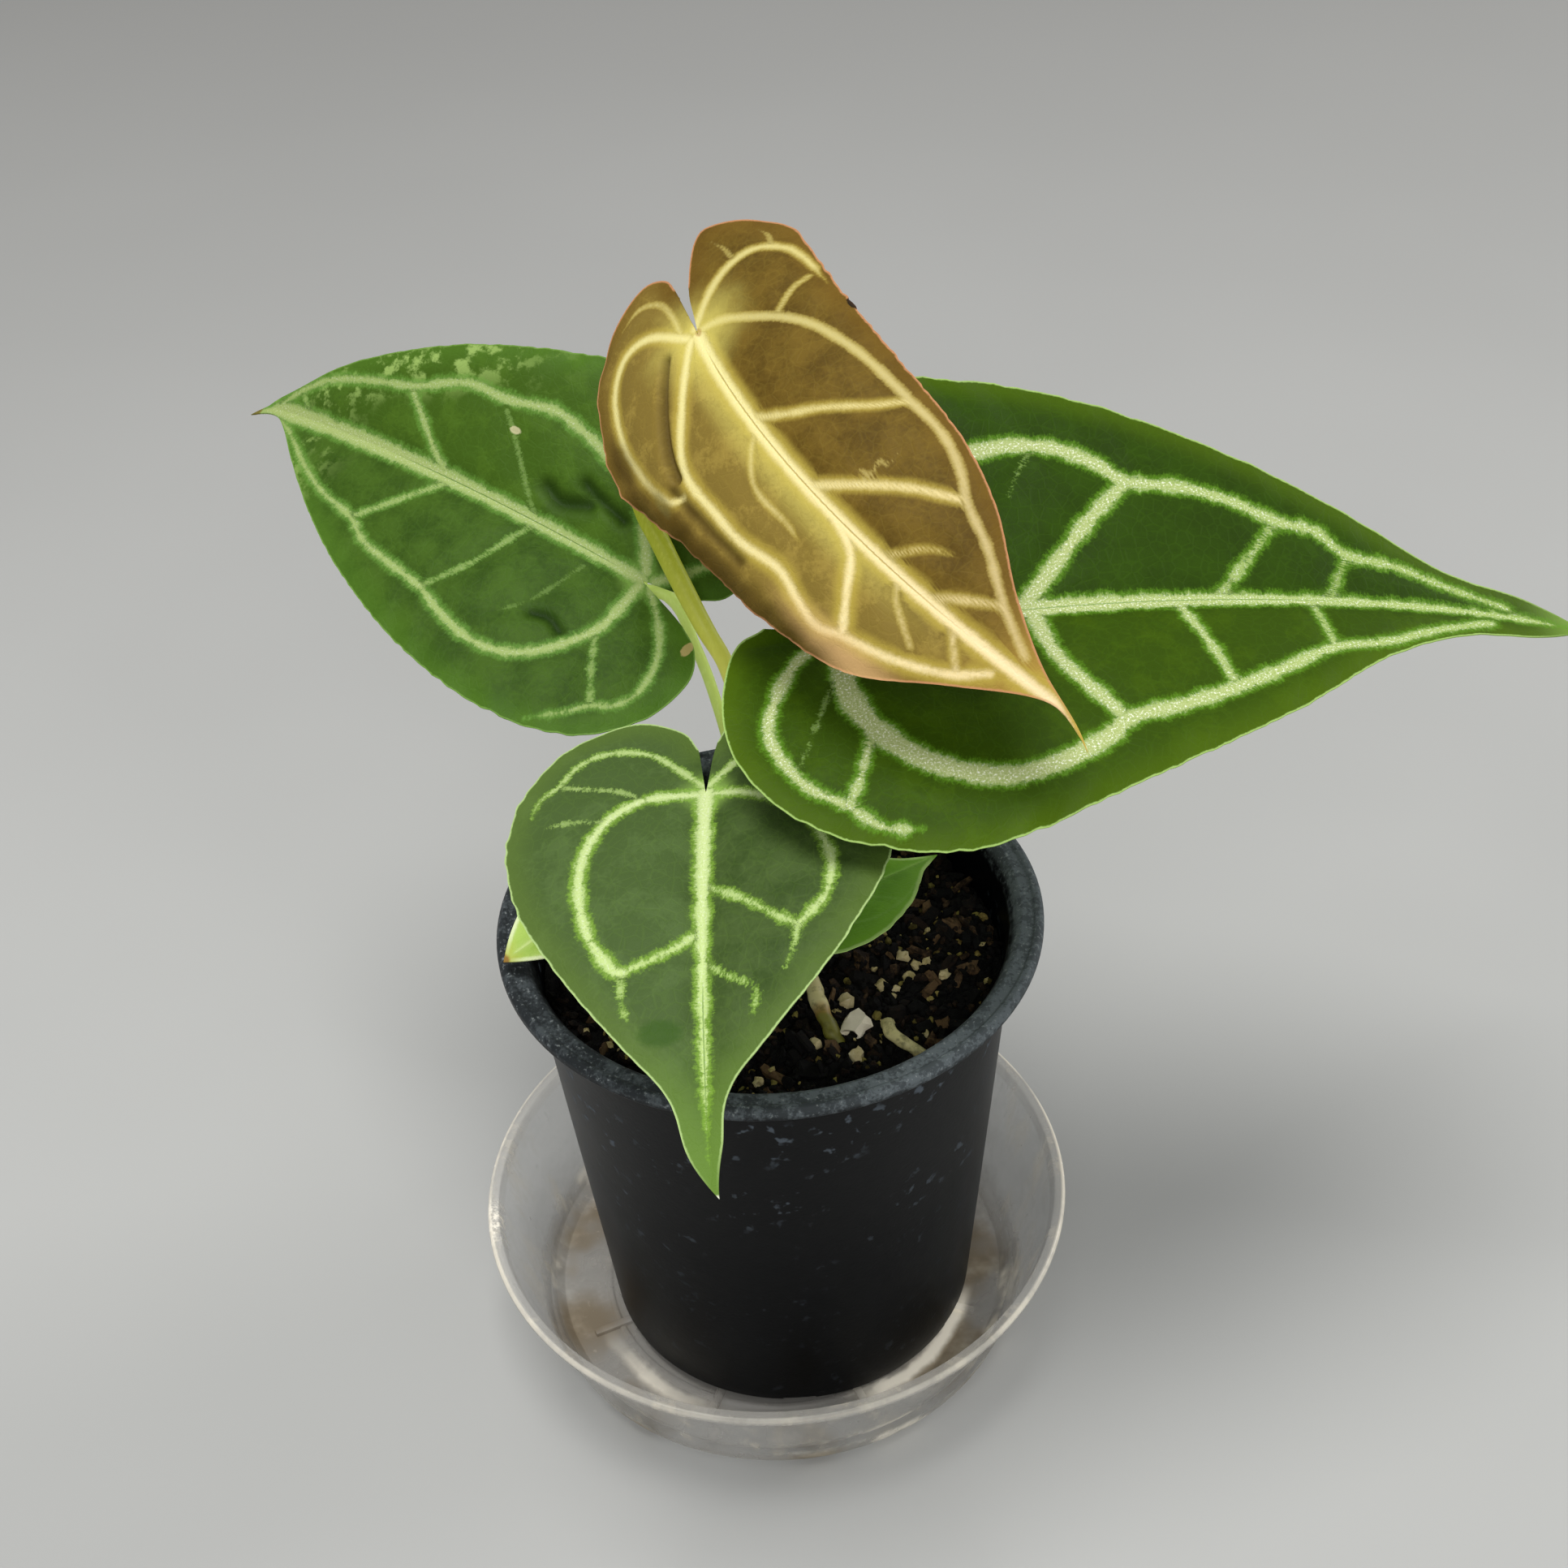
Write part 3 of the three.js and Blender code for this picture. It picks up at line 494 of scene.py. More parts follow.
frontLeaf = {
    **plainForm,
    "pole": (-7.4, -14.7, 153.5), "heading": -93, "climb": -3, "bank": 7,
    "droop": 22, "sway": 4, "twist": 3, "fold": (11, 10), "curl": (-19, -16),
    "length": 82.8, "halfWidth": (35.5, 36.5), "lobe": (22.5, 20),
    "widths": ((1.0, 0.93, 0.67, 0.38, 0.12, 0.07), (1.01, 0.92, 0.66, 0.41, 0.18, 0.1)),
    "midrib": (1.7, 0.4), "rows": 80, "veinScale": 0.85, "fade": 0.72, "quilt": 0.35, "hook": 1.5,
    "veins": [
        (1.1, 1.1, 1, [(0.3, -1.2), (0.7, -7), (1.8, -12.1), (5.4, -17.2), (11.1, -20.7), (17.5, -22.3),
            (25.5, -21.9), (33.4, -19.7), (39.6, -15.8), (40.5, -14)]),
        (0.7, 0.6, 1, [(31.5, 0), (33.5, -1.1), (36.9, -6), (40.5, -14)]),
        (0.7, 0.2, 0.7, [(40.5, -14), (43.3, -14.2), (47.5, -13.9), (50.5, -12.6)]),
        (0.8, 0.4, 0.75, [(-2.1, -0.6), (-6, -4.7), (-10.7, -10.2), (-12.3, -16.3), (-11.5, -21.7),
            (-8.3, -25.5), (-4.7, -27.6), (-1.6, -31), (2.7, -32.3)]),
        (0.5, 0.5, 0.45, [(-4.3, -27.5), (-2.7, -21.7), (-1.4, -16.3), (0.9, -12.2)]),
        (0.45, 0.3, 0.4, [(6.2, -18.5), (5.6, -25), (6.4, -31)]),
        (0.9, 0.8, 0.95, [(0.4, 1.5), (2, 7.7), (6, 14.5), (11.5, 19.8), (18.1, 22.7), (23.1, 23.6),
            (29.3, 22.5), (33.3, 19.3), (35.2, 17.4)]),
        (0.55, 0.6, 0.9, [(22.5, 0), (24, 2.1), (28, 8), (32.2, 13.1), (35.2, 17.4)]),
        (0.6, 0.2, 0.7, [(35.2, 17.4), (39.5, 16.6), (43.4, 15)]),
        (0.5, 0.3, 0.8, [(39, 0), (40.5, 1.4), (43.5, 5.2), (46.6, 9.6), (51.2, 9.1)]),
        (1.1, 0.5, 0.75, [(-2.1, 0.6), (-6, 4.7), (-11, 10), (-13, 16), (-12.5, 21.5), (-9, 25.5),
            (-5, 27.6), (-1, 31), (3, 32)]),
    ],
    "marks": [(53.0, -7.4, 2.9, 4.5, "#355417", 0.75, 0.6), (83.3, 0, 1.2, 1.2, "#eef0d8", 0.9, 0.7)],
}

rimLeaf = {
    **plainForm,
    "pole": (-19, 1.5, 122.5), "heading": 205, "climb": -8, "bank": 0,
    "droop": 16, "sway": 0, "twist": 0, "fold": (12, 12), "curl": (-10, -10),
    "length": 35.5, "halfWidth": (15, 15), "lobe": (9, 9),
    "widths": ((1.0, 0.96, 0.86, 0.7, 0.5, 0.26),) * 2,
    "midrib": (0.7, 0.3), "rows": 36, "columns": 60, "quilt": 0.15,
    "marks": [(35.6, 0, 1.8, 2.2, "#8d6430", 0.9, 0.6)],
    "veins": [
        (0.4, 0.2, 0.6, [(0, 0), (2, 5), (8, 9), (16, 10.5), (25, 8), (32, 3)]),
        (0.4, 0.2, 0.6, [(0, 0), (2, -5), (8, -9), (16, -10.5), (25, -8), (32, -3)]),
        (0.3, 0.2, 0.6, [(12, 0), (16, 5), (18, 10)]),
        (0.3, 0.2, 0.6, [(12, 0), (16, -5), (18, -10)]),
    ],
}

lowLeaf = {
    **plainForm,
    "pole": (8, -11.5, 119), "heading": 28, "climb": -1, "bank": -2,
    "droop": 14, "sway": 17, "twist": 0, "fold": (14, 14), "curl": (-8, -8),
    "length": 37, "halfWidth": (14, 17.5), "lobe": (10, 10),
    "widths": ((1.0, 0.9, 0.66, 0.42, 0.2, 0.08),) * 2,
    "midrib": (0.6, 0.3), "rows": 36, "columns": 60, "quilt": 0.15,
    "veins": [
        (0.35, 0.2, 0.6, [(0, 0), (2, 5), (8, 8.5), (16, 8), (25, 4.5), (33, 1.5)]),
        (0.35, 0.2, 0.6, [(0, 0), (2, -6), (8, -11), (16, -10.5), (25, -6), (33, -1.5)]),
        (0.3, 0.2, 0.6, [(11, 0), (15, 4), (17, 8)]),
        (0.3, 0.2, 0.6, [(11, 0), (15, -5), (18, -10)]),
    ],
}


def bladeFrame(leaf, x):
    # the directions along the midrib, across it and up from the blade, at each x
    lobeReach = 1.1 * max(leaf["lobe"])
    ahead = np.clip(x / leaf["length"], 0, 1)
    behind = np.clip(-x / lobeReach, 0, 1)
    heading = np.radians(leaf["heading"] + leaf["sway"] * ahead)
    climb = np.radians(leaf["climb"] - leaf["droop"] * ahead + leaf["tuck"] * behind)
    bank = np.radians(leaf["bank"] + leaf["twist"] * ahead)
    forward = np.cos(climb)
    along = np.stack([forward * np.cos(heading), forward * np.sin(heading), np.sin(climb)], axis=1)
    level = np.stack([-np.sin(heading), np.cos(heading), np.zeros_like(heading)], axis=1)
    lifted = np.cross(along, level)
    across = level * np.cos(bank)[:, None] + lifted * np.sin(bank)[:, None]
    return along, across, np.cross(along, across)


def onBlade(leaf, x, y):
    # where the flat places x, y come to lie, in millimetres
    parts = 24
    middle = np.tile(np.array(leaf["pole"], dtype=float), (len(x), 1))
    for part in range(parts):
        middle += bladeFrame(leaf, x * (part + 0.5) / parts)[0] * (x / parts)[:, None]
    left = y >= 0
    width = np.where(left, *leaf["halfWidth"])
    fold = np.radians(np.where(left, *leaf["fold"]))
    curl = np.radians(np.where(left, *leaf["curl"]))
    curl = np.where(curl == 0, 1e-4, curl)
    bend = fold + curl * np.abs(y) / width
    reach = width / curl * (np.sin(bend) - np.sin(fold))
    rise = width / curl * (np.cos(fold) - np.cos(bend))
    _, across, up = bladeFrame(leaf, x)
    return middle + across * (np.sign(y) * reach)[:, None] + up * rise[:, None]


def bladeNormal(leaf, x, y, step=0.4):
    # the direction up from the blade at the flat places x, y
    y = np.where(np.abs(y) < 1e-6, 1e-6, y)
    outward = np.sign(y)
    here = onBlade(leaf, x, y)
    ahead = onBlade(leaf, x + step, y) - here
    across = (onBlade(leaf, x, y + step * outward) - here) * outward[:, None]
    normal = np.cross(ahead, across)
    return normal / np.linalg.norm(normal, axis=1)[:, None]


def bladeOutline(leaf, half):
    # the flat outline of one half, from the notch round the lobe to the tip
    side = 1 if half == 0 else -1
    width, lobe = leaf["halfWidth"][half], leaf["lobe"][half]
    route = []
    for index, (back, out) in enumerate(leaf["lobes"][half]):
        spread = out + leaf["sinus"][half] if index < 2 else out
        route.append((-back * lobe, side * spread * width))
    for station, share in zip(widthStations, leaf["widths"][half]):
        route.append((station * leaf["length"], side * share * width))
    route.append((leaf["length"], 0))
    return evenly(smoothRoute(route, 24), leaf["columns"] + 1)


def blade(name, leaf, slot, finishes, node):
    # a fan of points from the stalk to the outline, bent into the leaf's shape
    outline = np.vstack([bladeOutline(leaf, 0), bladeOutline(leaf, 1)[::-1][1:]])
    columns, rows = len(outline), leaf["rows"] + 1
    deselect()
    bpy.ops.mesh.primitive_grid_add(x_subdivisions=columns - 1, y_subdivisions=rows - 1, size=1)
    piece = named(name)
    grid = points(piece) + 0.5
    column = np.rint(grid[:, 0] * (columns - 1)).astype(int)
    share = grid[:, 1]
    flat = outline[column] * share[:, None]
    x, y = flat[:, 0], flat[:, 1]

    # for each point: the distance to the nearest vein's side, below 0 on the vein, how far along that vein
    # it lies, how strong the vein is there, and the distance to the leaf's margin
    taper = np.clip(x / leaf["length"], 0, 1)
    y = y + leaf["bow"] * np.sin(np.pi * taper) * (1 - np.clip(np.abs(y) / bladeForm["bowReach"], 0, 1) ** 2)
    bowed = np.column_stack([x, y])
    midrib = np.array([(0.0, 0.0), (leaf["length"] * 0.99, 0.0)])
    gap = distanceTo(bowed, midrib)[0] - (leaf["midrib"][0] * (1 - taper) + leaf["midrib"][1] * taper)
    gap += 2.0 * ease(taper, leaf["fade"], 1)
    run = x.copy()
    strength = np.ones_like(gap)
    curves = [smoothRoute(vein[3]) for vein in leaf["veins"]]
    for index, (start, end, force, _) in enumerate(leaf["veins"]):
        curve = curves[index]
        length = np.linalg.norm(np.diff(curve, axis=0), axis=1).sum()
        distance, along = distanceTo(bowed, curve)
        veinGap = distance - (start * (1 - along) + end * along) * leaf["veinScale"]
        others = [midrib] + curves[:index] + curves[index + 1:]
        if min(distanceTo(curve[-1:], other)[0][0] for other in others) > veinForm["joined"]:
            freed = ease(along * length, length - veinForm["freeEnd"], length)
            veinGap += veinForm["thinning"] * end * freed
        nearer = veinGap < gap
        gap = np.where(nearer, veinGap, gap)
        run = np.where(nearer, along * length + veinForm["apart"] * (index + 1), run)
        strength = np.where(nearer, force, strength)
    margin = distanceTo(flat, outline)[0]
    # creaseShade: how much painted shade the creases and the rolled margin get in the finish
    creaseShade = np.zeros_like(gap)
    dip = np.zeros_like(gap)
    for depth, width, route in leaf["creases"]:
        pit = np.exp(-(distanceTo(flat, smoothRoute(route))[0] / width) ** 2)
        dip += depth * pit
        creaseShade = np.maximum(creaseShade, pit)
    if "roll" in leaf:
        roll = leaf["roll"]
        span = ease(x, roll["from"], roll["from"] + roll["ends"])
        span *= 1 - ease(x, roll["to"] - roll["ends"], roll["to"])
        bent = np.clip(1 - margin / roll["width"], 0, 1) * span * (y * roll["side"] > 0)
        lumps = 0.8 + 0.14 * np.sin(x * 0.42 + y * 0.2) + 0.1 * np.sin(x * 1.07 - y * 0.5)
        dip += roll["depth"] * bent**2 * lumps
        creaseShade = np.maximum(creaseShade, 0.6 * ease(bent * lumps, 0, 0.5))
    keep(piece, "flatPlace", np.column_stack([x, y, np.zeros_like(x)]), "FLOAT_VECTOR")
    keep(piece, "veinGap", gap)
    keep(piece, "veinRun", run)
    keep(piece, "veinStrength", strength)
    keep(piece, "edgeGap", margin)
    keep(piece, "creaseShade", creaseShade)

    # the blade's form: waved edge, panels raised between the veins, creases and a hooked tip
    phase = 2 * np.pi * (np.hypot(x, y) + x) / edgeWave["length"]
    wave = edgeWave["height"] * share**7 * np.sin(phase) * (0.55 + 0.45 * np.sin(phase * 0.37 + 1))
    wave *= np.maximum(1 - np.abs(x) / leaf["length"], 0)
    relief = leaf["quilt"] * ease(gap, -1, 5) * ease(margin, 0, 6) - dip
    hook = leaf["hook"] * np.clip((taper - 0.9) / 0.1, 0, 1) ** 2
    ripple = np.sin(phase * 2.7) * (0.6 + 0.4 * np.sin(phase * 0.9 + 2)) * np.clip(1.15 - taper * 1.3, 0, 1)
    ripple *= edgeWave["ripple"] * share**6
    x, y = flat[:, 0], flat[:, 1]
    normal = bladeNormal(leaf, x, y)
    places = onBlade(leaf, x, y + hook + np.sign(y) * ripple)
    setPoints(piece, (places + normal * (wave + relief)[:, None]) * mm)
    edit(piece)
    bpy.ops.mesh.remove_doubles(threshold=1e-7)
    bpy.ops.object.mode_set(mode="OBJECT")

    # thickness, thinner at the margin, and raised veins underneath
    for finish in finishes:
        piece.data.materials.append(finish)
    count = len(piece.data.vertices)
    edgeGap = np.empty(count, dtype=np.float32)
    piece.data.attributes["edgeGap"].data.foreach_get("value", edgeGap)
    thick = piece.vertex_groups.new(name="thick")
    for index, value in enumerate(ease(edgeGap, 0, bladeForm["edgeWidth"])):
        thick.add([index], float(value), "REPLACE")
    modify(piece, "SOLIDIFY", thickness=bladeForm["thickness"] * mm, offset=bladeForm["offset"],
           material_offset=1, vertex_group="thick", thickness_vertex_group=bladeForm["edgeShare"])
    places = points(piece)
    veinGap = np.empty(len(places), dtype=np.float32)
    piece.data.attributes["veinGap"].data.foreach_get("value", veinGap)
    flat = np.empty(len(places) * 3, dtype=np.float32)
    piece.data.attributes["flatPlace"].data.foreach_get("vector", flat)
    flat = flat.reshape(-1, 3)
    under = np.arange(len(places)) >= count
    ridge = bladeForm["ridge"] * (1 - ease(veinGap, -1.2, 0.4))
    keel = leaf["midrib"][0] * bladeForm["keel"] * (1 - np.clip(flat[:, 0] / leaf["length"], 0, 1))
    ridge += np.where(flat[:, 0] > -1, keel * (1 - ease(np.abs(flat[:, 1]), 0, 1.4)), 0)
    normal = bladeNormal(leaf, flat[:, 0].astype(float), flat[:, 1].astype(float))
    places -= normal * (np.where(under, ridge, 0) * mm)[:, None]
    setPoints(piece, places)
    smooth(piece, 60)
    onPlant(piece, slot, node)
    return piece


# What a leaf's finish is made of: colours of the panels between the veins, of the veins and of the
# margin, how wide the glow beside the veins is, how far their edges fray, and how much they glitter.
# The heart is the pale spot over the stalk. The furrow runs along the midrib, between two shares of the
# length. Glow is how far a pale light spreads beside the midrib, and scars how strong the old dents show.
plainLooks = {
    "marginWidth": 0.35, "haloWidth": 2.2, "haloShare": 0.4, "fray": 0.5, "soften": 0.4, "glitter": 0.05,
    "heartSize": 5, "tipStart": 0.8, "gloss": 0.42, "scars": 0, "furrow": (0.03, 0.8), "bandShare": 0.5,
    "glow": 0,
}
leafLooks = {
    "bronzeLeaf": {
        "deep": "#554112", "light": "#6f581e", "sunny": "#96803a", "halo": "#b7a244", "vein": "#f0e59c",
        "veinFar": "#fce4b2", "thread": "#a88c34", "band": "#6c5018", "margin": "#c48a60", "heart": "#d4c664",
        "tip": "#e8c05a", "under": "#8d7a3c", "underVein": "#c9b777", "dark": "#3c2c08", "marginWidth": 0.4,
        "haloShare": 0.75, "soften": 0.6, "glitter": 0.2, "heartSize": 15, "tipStart": 0.72, "gloss": 0.48,
        "bandShare": 0.6, "glow": 5.5,
    },
    "deepLeaf": {
        "deep": "#2e480c", "light": "#415e18", "sunny": "#466419", "halo": "#649238", "vein": "#a2b36d",
        "veinFar": "#9dad66", "thread": "#4c7a30", "band": "#507721", "margin": "#6f9440", "heart": "#86ab4e",
        "tip": "#6a943a", "under": "#7d9a5a", "underVein": "#a9bd84", "dark": "#122606", "marginWidth": 0.3,
        "haloWidth": 1.3, "haloShare": 0.65, "fray": 1.35, "glitter": 0.3, "heartSize": 6, "scars": 0.8,
        "furrow": (0.03, 0.62),
    },
    "silverVeinedLeaf": {
        "deep": "#253b01", "light": "#2b4501", "sunny": "#385101", "halo": "#5c8c1c", "vein": "#b1bc7c",
        "veinFar": "#a3b866", "thread": "#6a9048", "band": "#506b05", "margin": "#a4c46c", "heart": "#5d8628",
        "tip": "#86ac48", "under": "#6f8f4c", "underVein": "#9cb478", "dark": "#1c3604", "haloWidth": 1.25,
        "haloShare": 0.7, "fray": 1.6, "soften": 0.35, "glitter": 1.0, "tipStart": 0.88, "gloss": 0.45,
        "furrow": (0.05, 0.7),
    },
    "softLeaf": {
        "deep": "#374b1f", "light": "#485c2d", "sunny": "#506635", "halo": "#7ca436", "vein": "#cede9a",
        "veinFar": "#c8de8d", "thread": "#668c3c", "band": "#5c7430", "margin": "#b3ce84", "heart": "#9cc25a",
        "tip": "#6b8e36", "under": "#7f9c5c", "underVein": "#adc187", "dark": "#2c4a18", "haloWidth": 1.15,
        "haloShare": 0.85, "fray": 1.55, "soften": 0.35, "glitter": 0.5, "heartSize": 7, "tipStart": 0.6,
        "furrow": (0.5, 0.92), "bandShare": 0.6,
    },
    "paleLeaf": {
        "deep": "#8aae3e", "light": "#a6c45a", "sunny": "#a6c45a", "halo": "#b4cc70", "vein": "#cfe092",
        "veinFar": "#c8da8c", "thread": "#a9c060", "band": "#b4ce68", "margin": "#e4ecbc", "heart": "#c6d880",
        "tip": "#b8b040", "under": "#a9bf6c", "underVein": "#c2d08c", "dark": "#7a9838", "marginWidth": 0.9,
        "haloWidth": 1.5, "fray": 0.4, "tipStart": 0.85, "gloss": 0.45,
    },
    "plainLeaf": {
        "deep": "#548510", "light": "#71a528", "sunny": "#71a528", "halo": "#76a83c", "vein": "#98bf5c",
        "veinFar": "#98bf5c", "thread": "#6a9838", "band": "#81b238", "margin": "#b8d880", "heart": "#82a84c",
        "tip": "#72a030", "under": "#6f8f48", "underVein": "#94ad6c", "dark": "#264a08", "marginWidth": 0.7,
        "haloWidth": 2.0,
    },
}


def leafFinish(name, leaf):
    # the upper and the lower side of a leaf
    looks = {**plainLooks, **leafLooks[name]}
    length = leaf["length"]
    upper = Finish(name, specularIorLevel=0.08)
    flat = upper.read("flatPlace", "Vector")
    gap, edge, creaseShade = upper.read("veinGap"), upper.read("edgeGap"), upper.read("creaseShade")
    run, strength = upper.read("veinRun"), upper.read("veinStrength")
    x, y = upper.part(flat, "X"), upper.part(flat, "Y")
    mottle = upper.noise(flat, 0.1, 4.0, 0.6)
    grain = upper.noise(flat, 1.1, 3.0, 0.65)
    hair = upper.noise(flat, 2.1, 3.0, 0.75)
    net = upper.add("ShaderNodeTexVoronoi", {"feature": "DISTANCE_TO_EDGE"}, {"Vector": flat, "Scale": 0.42})
    net = 1 - net.ramp(0.0, 0.09)

    # the vein's edge frays along its run, in short uneven spikes across it
    besideVein = upper.add("ShaderNodeCombineXYZ", inputs={"X": run * 2.3, "Y": gap * 0.6})
    comb = upper.noise(besideVein, 1.0, 4.0, 0.8)
    swell = upper.noise(upper.add("ShaderNodeCombineXYZ", inputs={"X": run * 0.22}), 1.0, 2.0)
    stray = (comb - 0.5) * 1.6 + (grain - 0.5) * 1.3 + (hair - 0.5) * 0.9 + (swell - 0.5) * 1.6
    strayed = gap + stray * looks["fray"]
    soften = looks["soften"]
    onVein = (1 - strayed.ramp(-soften, soften)) * strength
    fringe = 1 - (strayed / (strength * strength * looks["haloWidth"] + 0.01)).ramp(0.1, 1.1)

    # panels, with painted shade in the creases and the rolled margin, and a lighter band along the margin
    # the half at -y is painted lighter, in the sunny colour: a painted pool of light on that half
    sunny = upper.mix(looks["light"], looks["sunny"], 1 - y.ramp(-5.0, 1.0))
    level = (mottle * 0.75 + grain * 0.25).ramp(0.34, 0.62).most((1 - y.ramp(-5.0, 1.0)) * 0.6)
    panel = upper.mix(looks["deep"], sunny, level)
    panel = upper.mix(panel, looks["halo"], net * 0.05)
    panel = upper.mix(panel, looks["band"], (1 - edge.ramp(0.0, 7.0)) * looks["bandShare"])
    panel = upper.mix(panel, looks["tip"], x.ramp(length * looks["tipStart"], length) * 0.7)
    if looks["scars"]:
        damage = upper.noise(flat, 0.17, 5.0, 0.65).ramp(0.49, 0.6)
        damage = damage * upper.noise(flat, 0.07, 1.0).ramp(0.36, 0.5)
        rim = (1 - edge.ramp(3.0, 14.0)) * (1 - y.ramp(-8.0, 0.0))
        where = rim.most(x.ramp(length * 0.62, length * 0.85))
        panel = upper.mix(panel, "#9db964", damage * where * x.ramp(30.0, 60.0) * looks["scars"])
    panel = upper.mix(panel, looks["halo"], fringe * strength * looks["haloShare"])
    reach = (x * x + y * y) ** 0.5 + (mottle - 0.5) * looks["heartSize"] * 0.8
    panel = upper.mix(panel, looks["heart"], (1 - reach.ramp(0.0, looks["heartSize"])) * 0.8)
    if looks["glow"]:
        beside = (1 - abs(y + 2).ramp(1.0, looks["glow"])) * (1 - x.ramp(50.0, 90.0)) * x.ramp(-6.0, 2.0)
        panel = upper.mix(panel, looks["heart"], beside * 0.45 * grain.ramp(0.2, 0.6, 0.7, 1.0))
    # painted shade: the creases and the rolled margin darkened
    panel = upper.mix(panel, looks["dark"], creaseShade * 0.75)

    # veins, with bright specks and darker flecks, and a thin furrow along the midrib
    veinTone = upper.mix(looks["vein"], looks["veinFar"], x.ramp(0, length))
    veinTone = upper.mix(veinTone, "#f2f6e2", hair.ramp(0.53, 0.64) * looks["glitter"])
    veinTone = upper.mix(veinTone, looks["halo"], (1 - hair).ramp(0.54, 0.7) * looks["glitter"] * 0.6)
    veinTone = upper.mix(veinTone, looks["halo"], gap.ramp(-1.4, 0.5) * 0.5)
    colour = upper.mix(panel, veinTone, onVein)
    start, end = looks["furrow"]
    thread = 1 - abs(y + (grain - 0.5) * 0.3).ramp(0.02, 0.24)
    thread = thread * x.ramp(length * start, length * (start + 0.08))
    thread = thread * (1 - x.ramp(length * (end - 0.2), length * end))
    colour = upper.mix(colour, looks["thread"], thread * 0.75)
    width = looks["marginWidth"]
    rim = 1 - (edge + (grain - 0.5) * 0.4).ramp(width * 0.4, width * 1.3)
    colour = upper.mix(colour, looks["margin"], rim * (1 - x.ramp(length * 0.85, length)) * 0.85)
    for markX, markY, long, wide, code, force, crisp in leaf["marks"]:
        away = (((x - markX) / long) ** 2.0 + ((y - markY) / wide) ** 2.0) ** 0.5
        away = away + (grain - 0.5) * (crisp * crisp)
        colour = upper.mix(colour, code, (1 - away.ramp(crisp, 1.1)) * force)
    upper.set(baseColor=colour, roughness=(grain * 0.14 + onVein * 0.12) + looks["gloss"])
    upper.bump(grain * 0.5 + hair * 0.3 + net * -0.15 + onVein * -0.4 + thread * -0.4, 0.7, 0.25 * mm)

    lower = Finish(name + "Under", specularIorLevel=0.15)
    flat = lower.read("flatPlace", "Vector")
    gap = lower.read("veinGap")
    mottle = lower.noise(flat, 0.5, 3.0)
    panel = lower.mix(looks["under"], looks["deep"], mottle.ramp(0.4, 0.8) * 0.35)
    colour = lower.mix(panel, looks["underVein"], 1 - gap.ramp(-0.9, 0.5))
    lower.set(baseColor=colour, roughness=0.55 + mottle * 0.1)
    lower.bump(mottle, 0.4, 0.2 * mm)
    return upper.material, lower.material


def addBlades():
    blades = [
        ("topBlade", topLeaf, "bronze_leaf", "bronzeLeaf", "top_blade"),
        ("leftBlade", leftLeaf, "deep_leaf", "deepLeaf", "left_blade"),
        ("rightBlade", rightLeaf, "silver_veined_leaf", "silverVeinedLeaf", "right_blade"),
        ("frontBlade", frontLeaf, "soft_leaf", "softLeaf", "front_blade"),
        ("rimBlade", rimLeaf, "pale_leaf", "paleLeaf", "rim_blade"),
        ("lowBlade", lowLeaf, "plain_leaf", "plainLeaf", "low_blade"),
    ]
    for name, leaf, slot, finish, node in blades:
        blade(name, leaf, slot, leafFinish(finish, leaf), node)


# Stalks, each with its route in millimetres from the crown to under its blade, and radii along it. Each
# route ends with two points under its blade, below and inside it, where the stalk narrows.
stalkHead = {"below": 1.3, "inside": 0.1, "narrowed": 0.8}
stalks = {
    "topStalk": {
        "route": [
            (3.5, 6.5, 104), (2.2, 9.8, 124), (0.2, 15.6, 142), (-2.9, 23.1, 155), (-6.3, 25.9, 161.5),
            (-10.3, 31.7, 168), (-14, 38, 174), (-17.6, 43.4, 181), (-18.4, 49, 193), (-13.6, 51.4, 203.4),
        ],
        "radii": (1.8, 1.6, 1.7, 2.0, 2.1, 2.0, 2.2),
        "leaf": topLeaf, "slot": "bronze_stalk", "node": "top_stalk",
    },
    "leftStalk": {
        "route": [(2.2, 10.5, 104), (-1, 17, 122), (-5, 27.5, 140), (-9.1, 34.5, 152), (-14, 40.5, 160.5)],
        "radii": (1.7, 1.2, 1.1, 1.2, 1.6),
        "leaf": leftLeaf, "slot": "green_stalk", "node": "left_stalk",
    },
    "rightStalk": {
        "route": [(7.4, 8, 104), (10.5, 13, 125), (15, 16, 148), (19.5, 13, 164)],
        "radii": (1.8, 1.5, 1.5, 1.9),
        "leaf": rightLeaf, "slot": "green_stalk", "node": "right_stalk",
    },
    "frontStalk": {
        "route": [(1.4, 2.9, 104), (-2, 3.2, 120), (-6, -1.5, 141)],
        "radii": (1.6, 1.3, 1.2, 1.5),
        "leaf": frontLeaf, "slot": "green_stalk", "node": "front_stalk",
    },
    "rimStalk": {
        "route": [(-0.6, 7, 104), (-6, 7.5, 113), (-13, 5.5, 119)],
        "radii": (1.2, 0.8, 1.0),
        "leaf": rimLeaf, "slot": "green_stalk", "node": "rim_stalk",
    },
    "lowStalk": {
        "route": [(6, 3, 104), (7, -2.5, 110), (6.5, -8, 114.8)],
        "radii": (1.3, 0.9, 1.1),
        "leaf": lowLeaf, "slot": "green_stalk", "node": "low_stalk",
    },
}


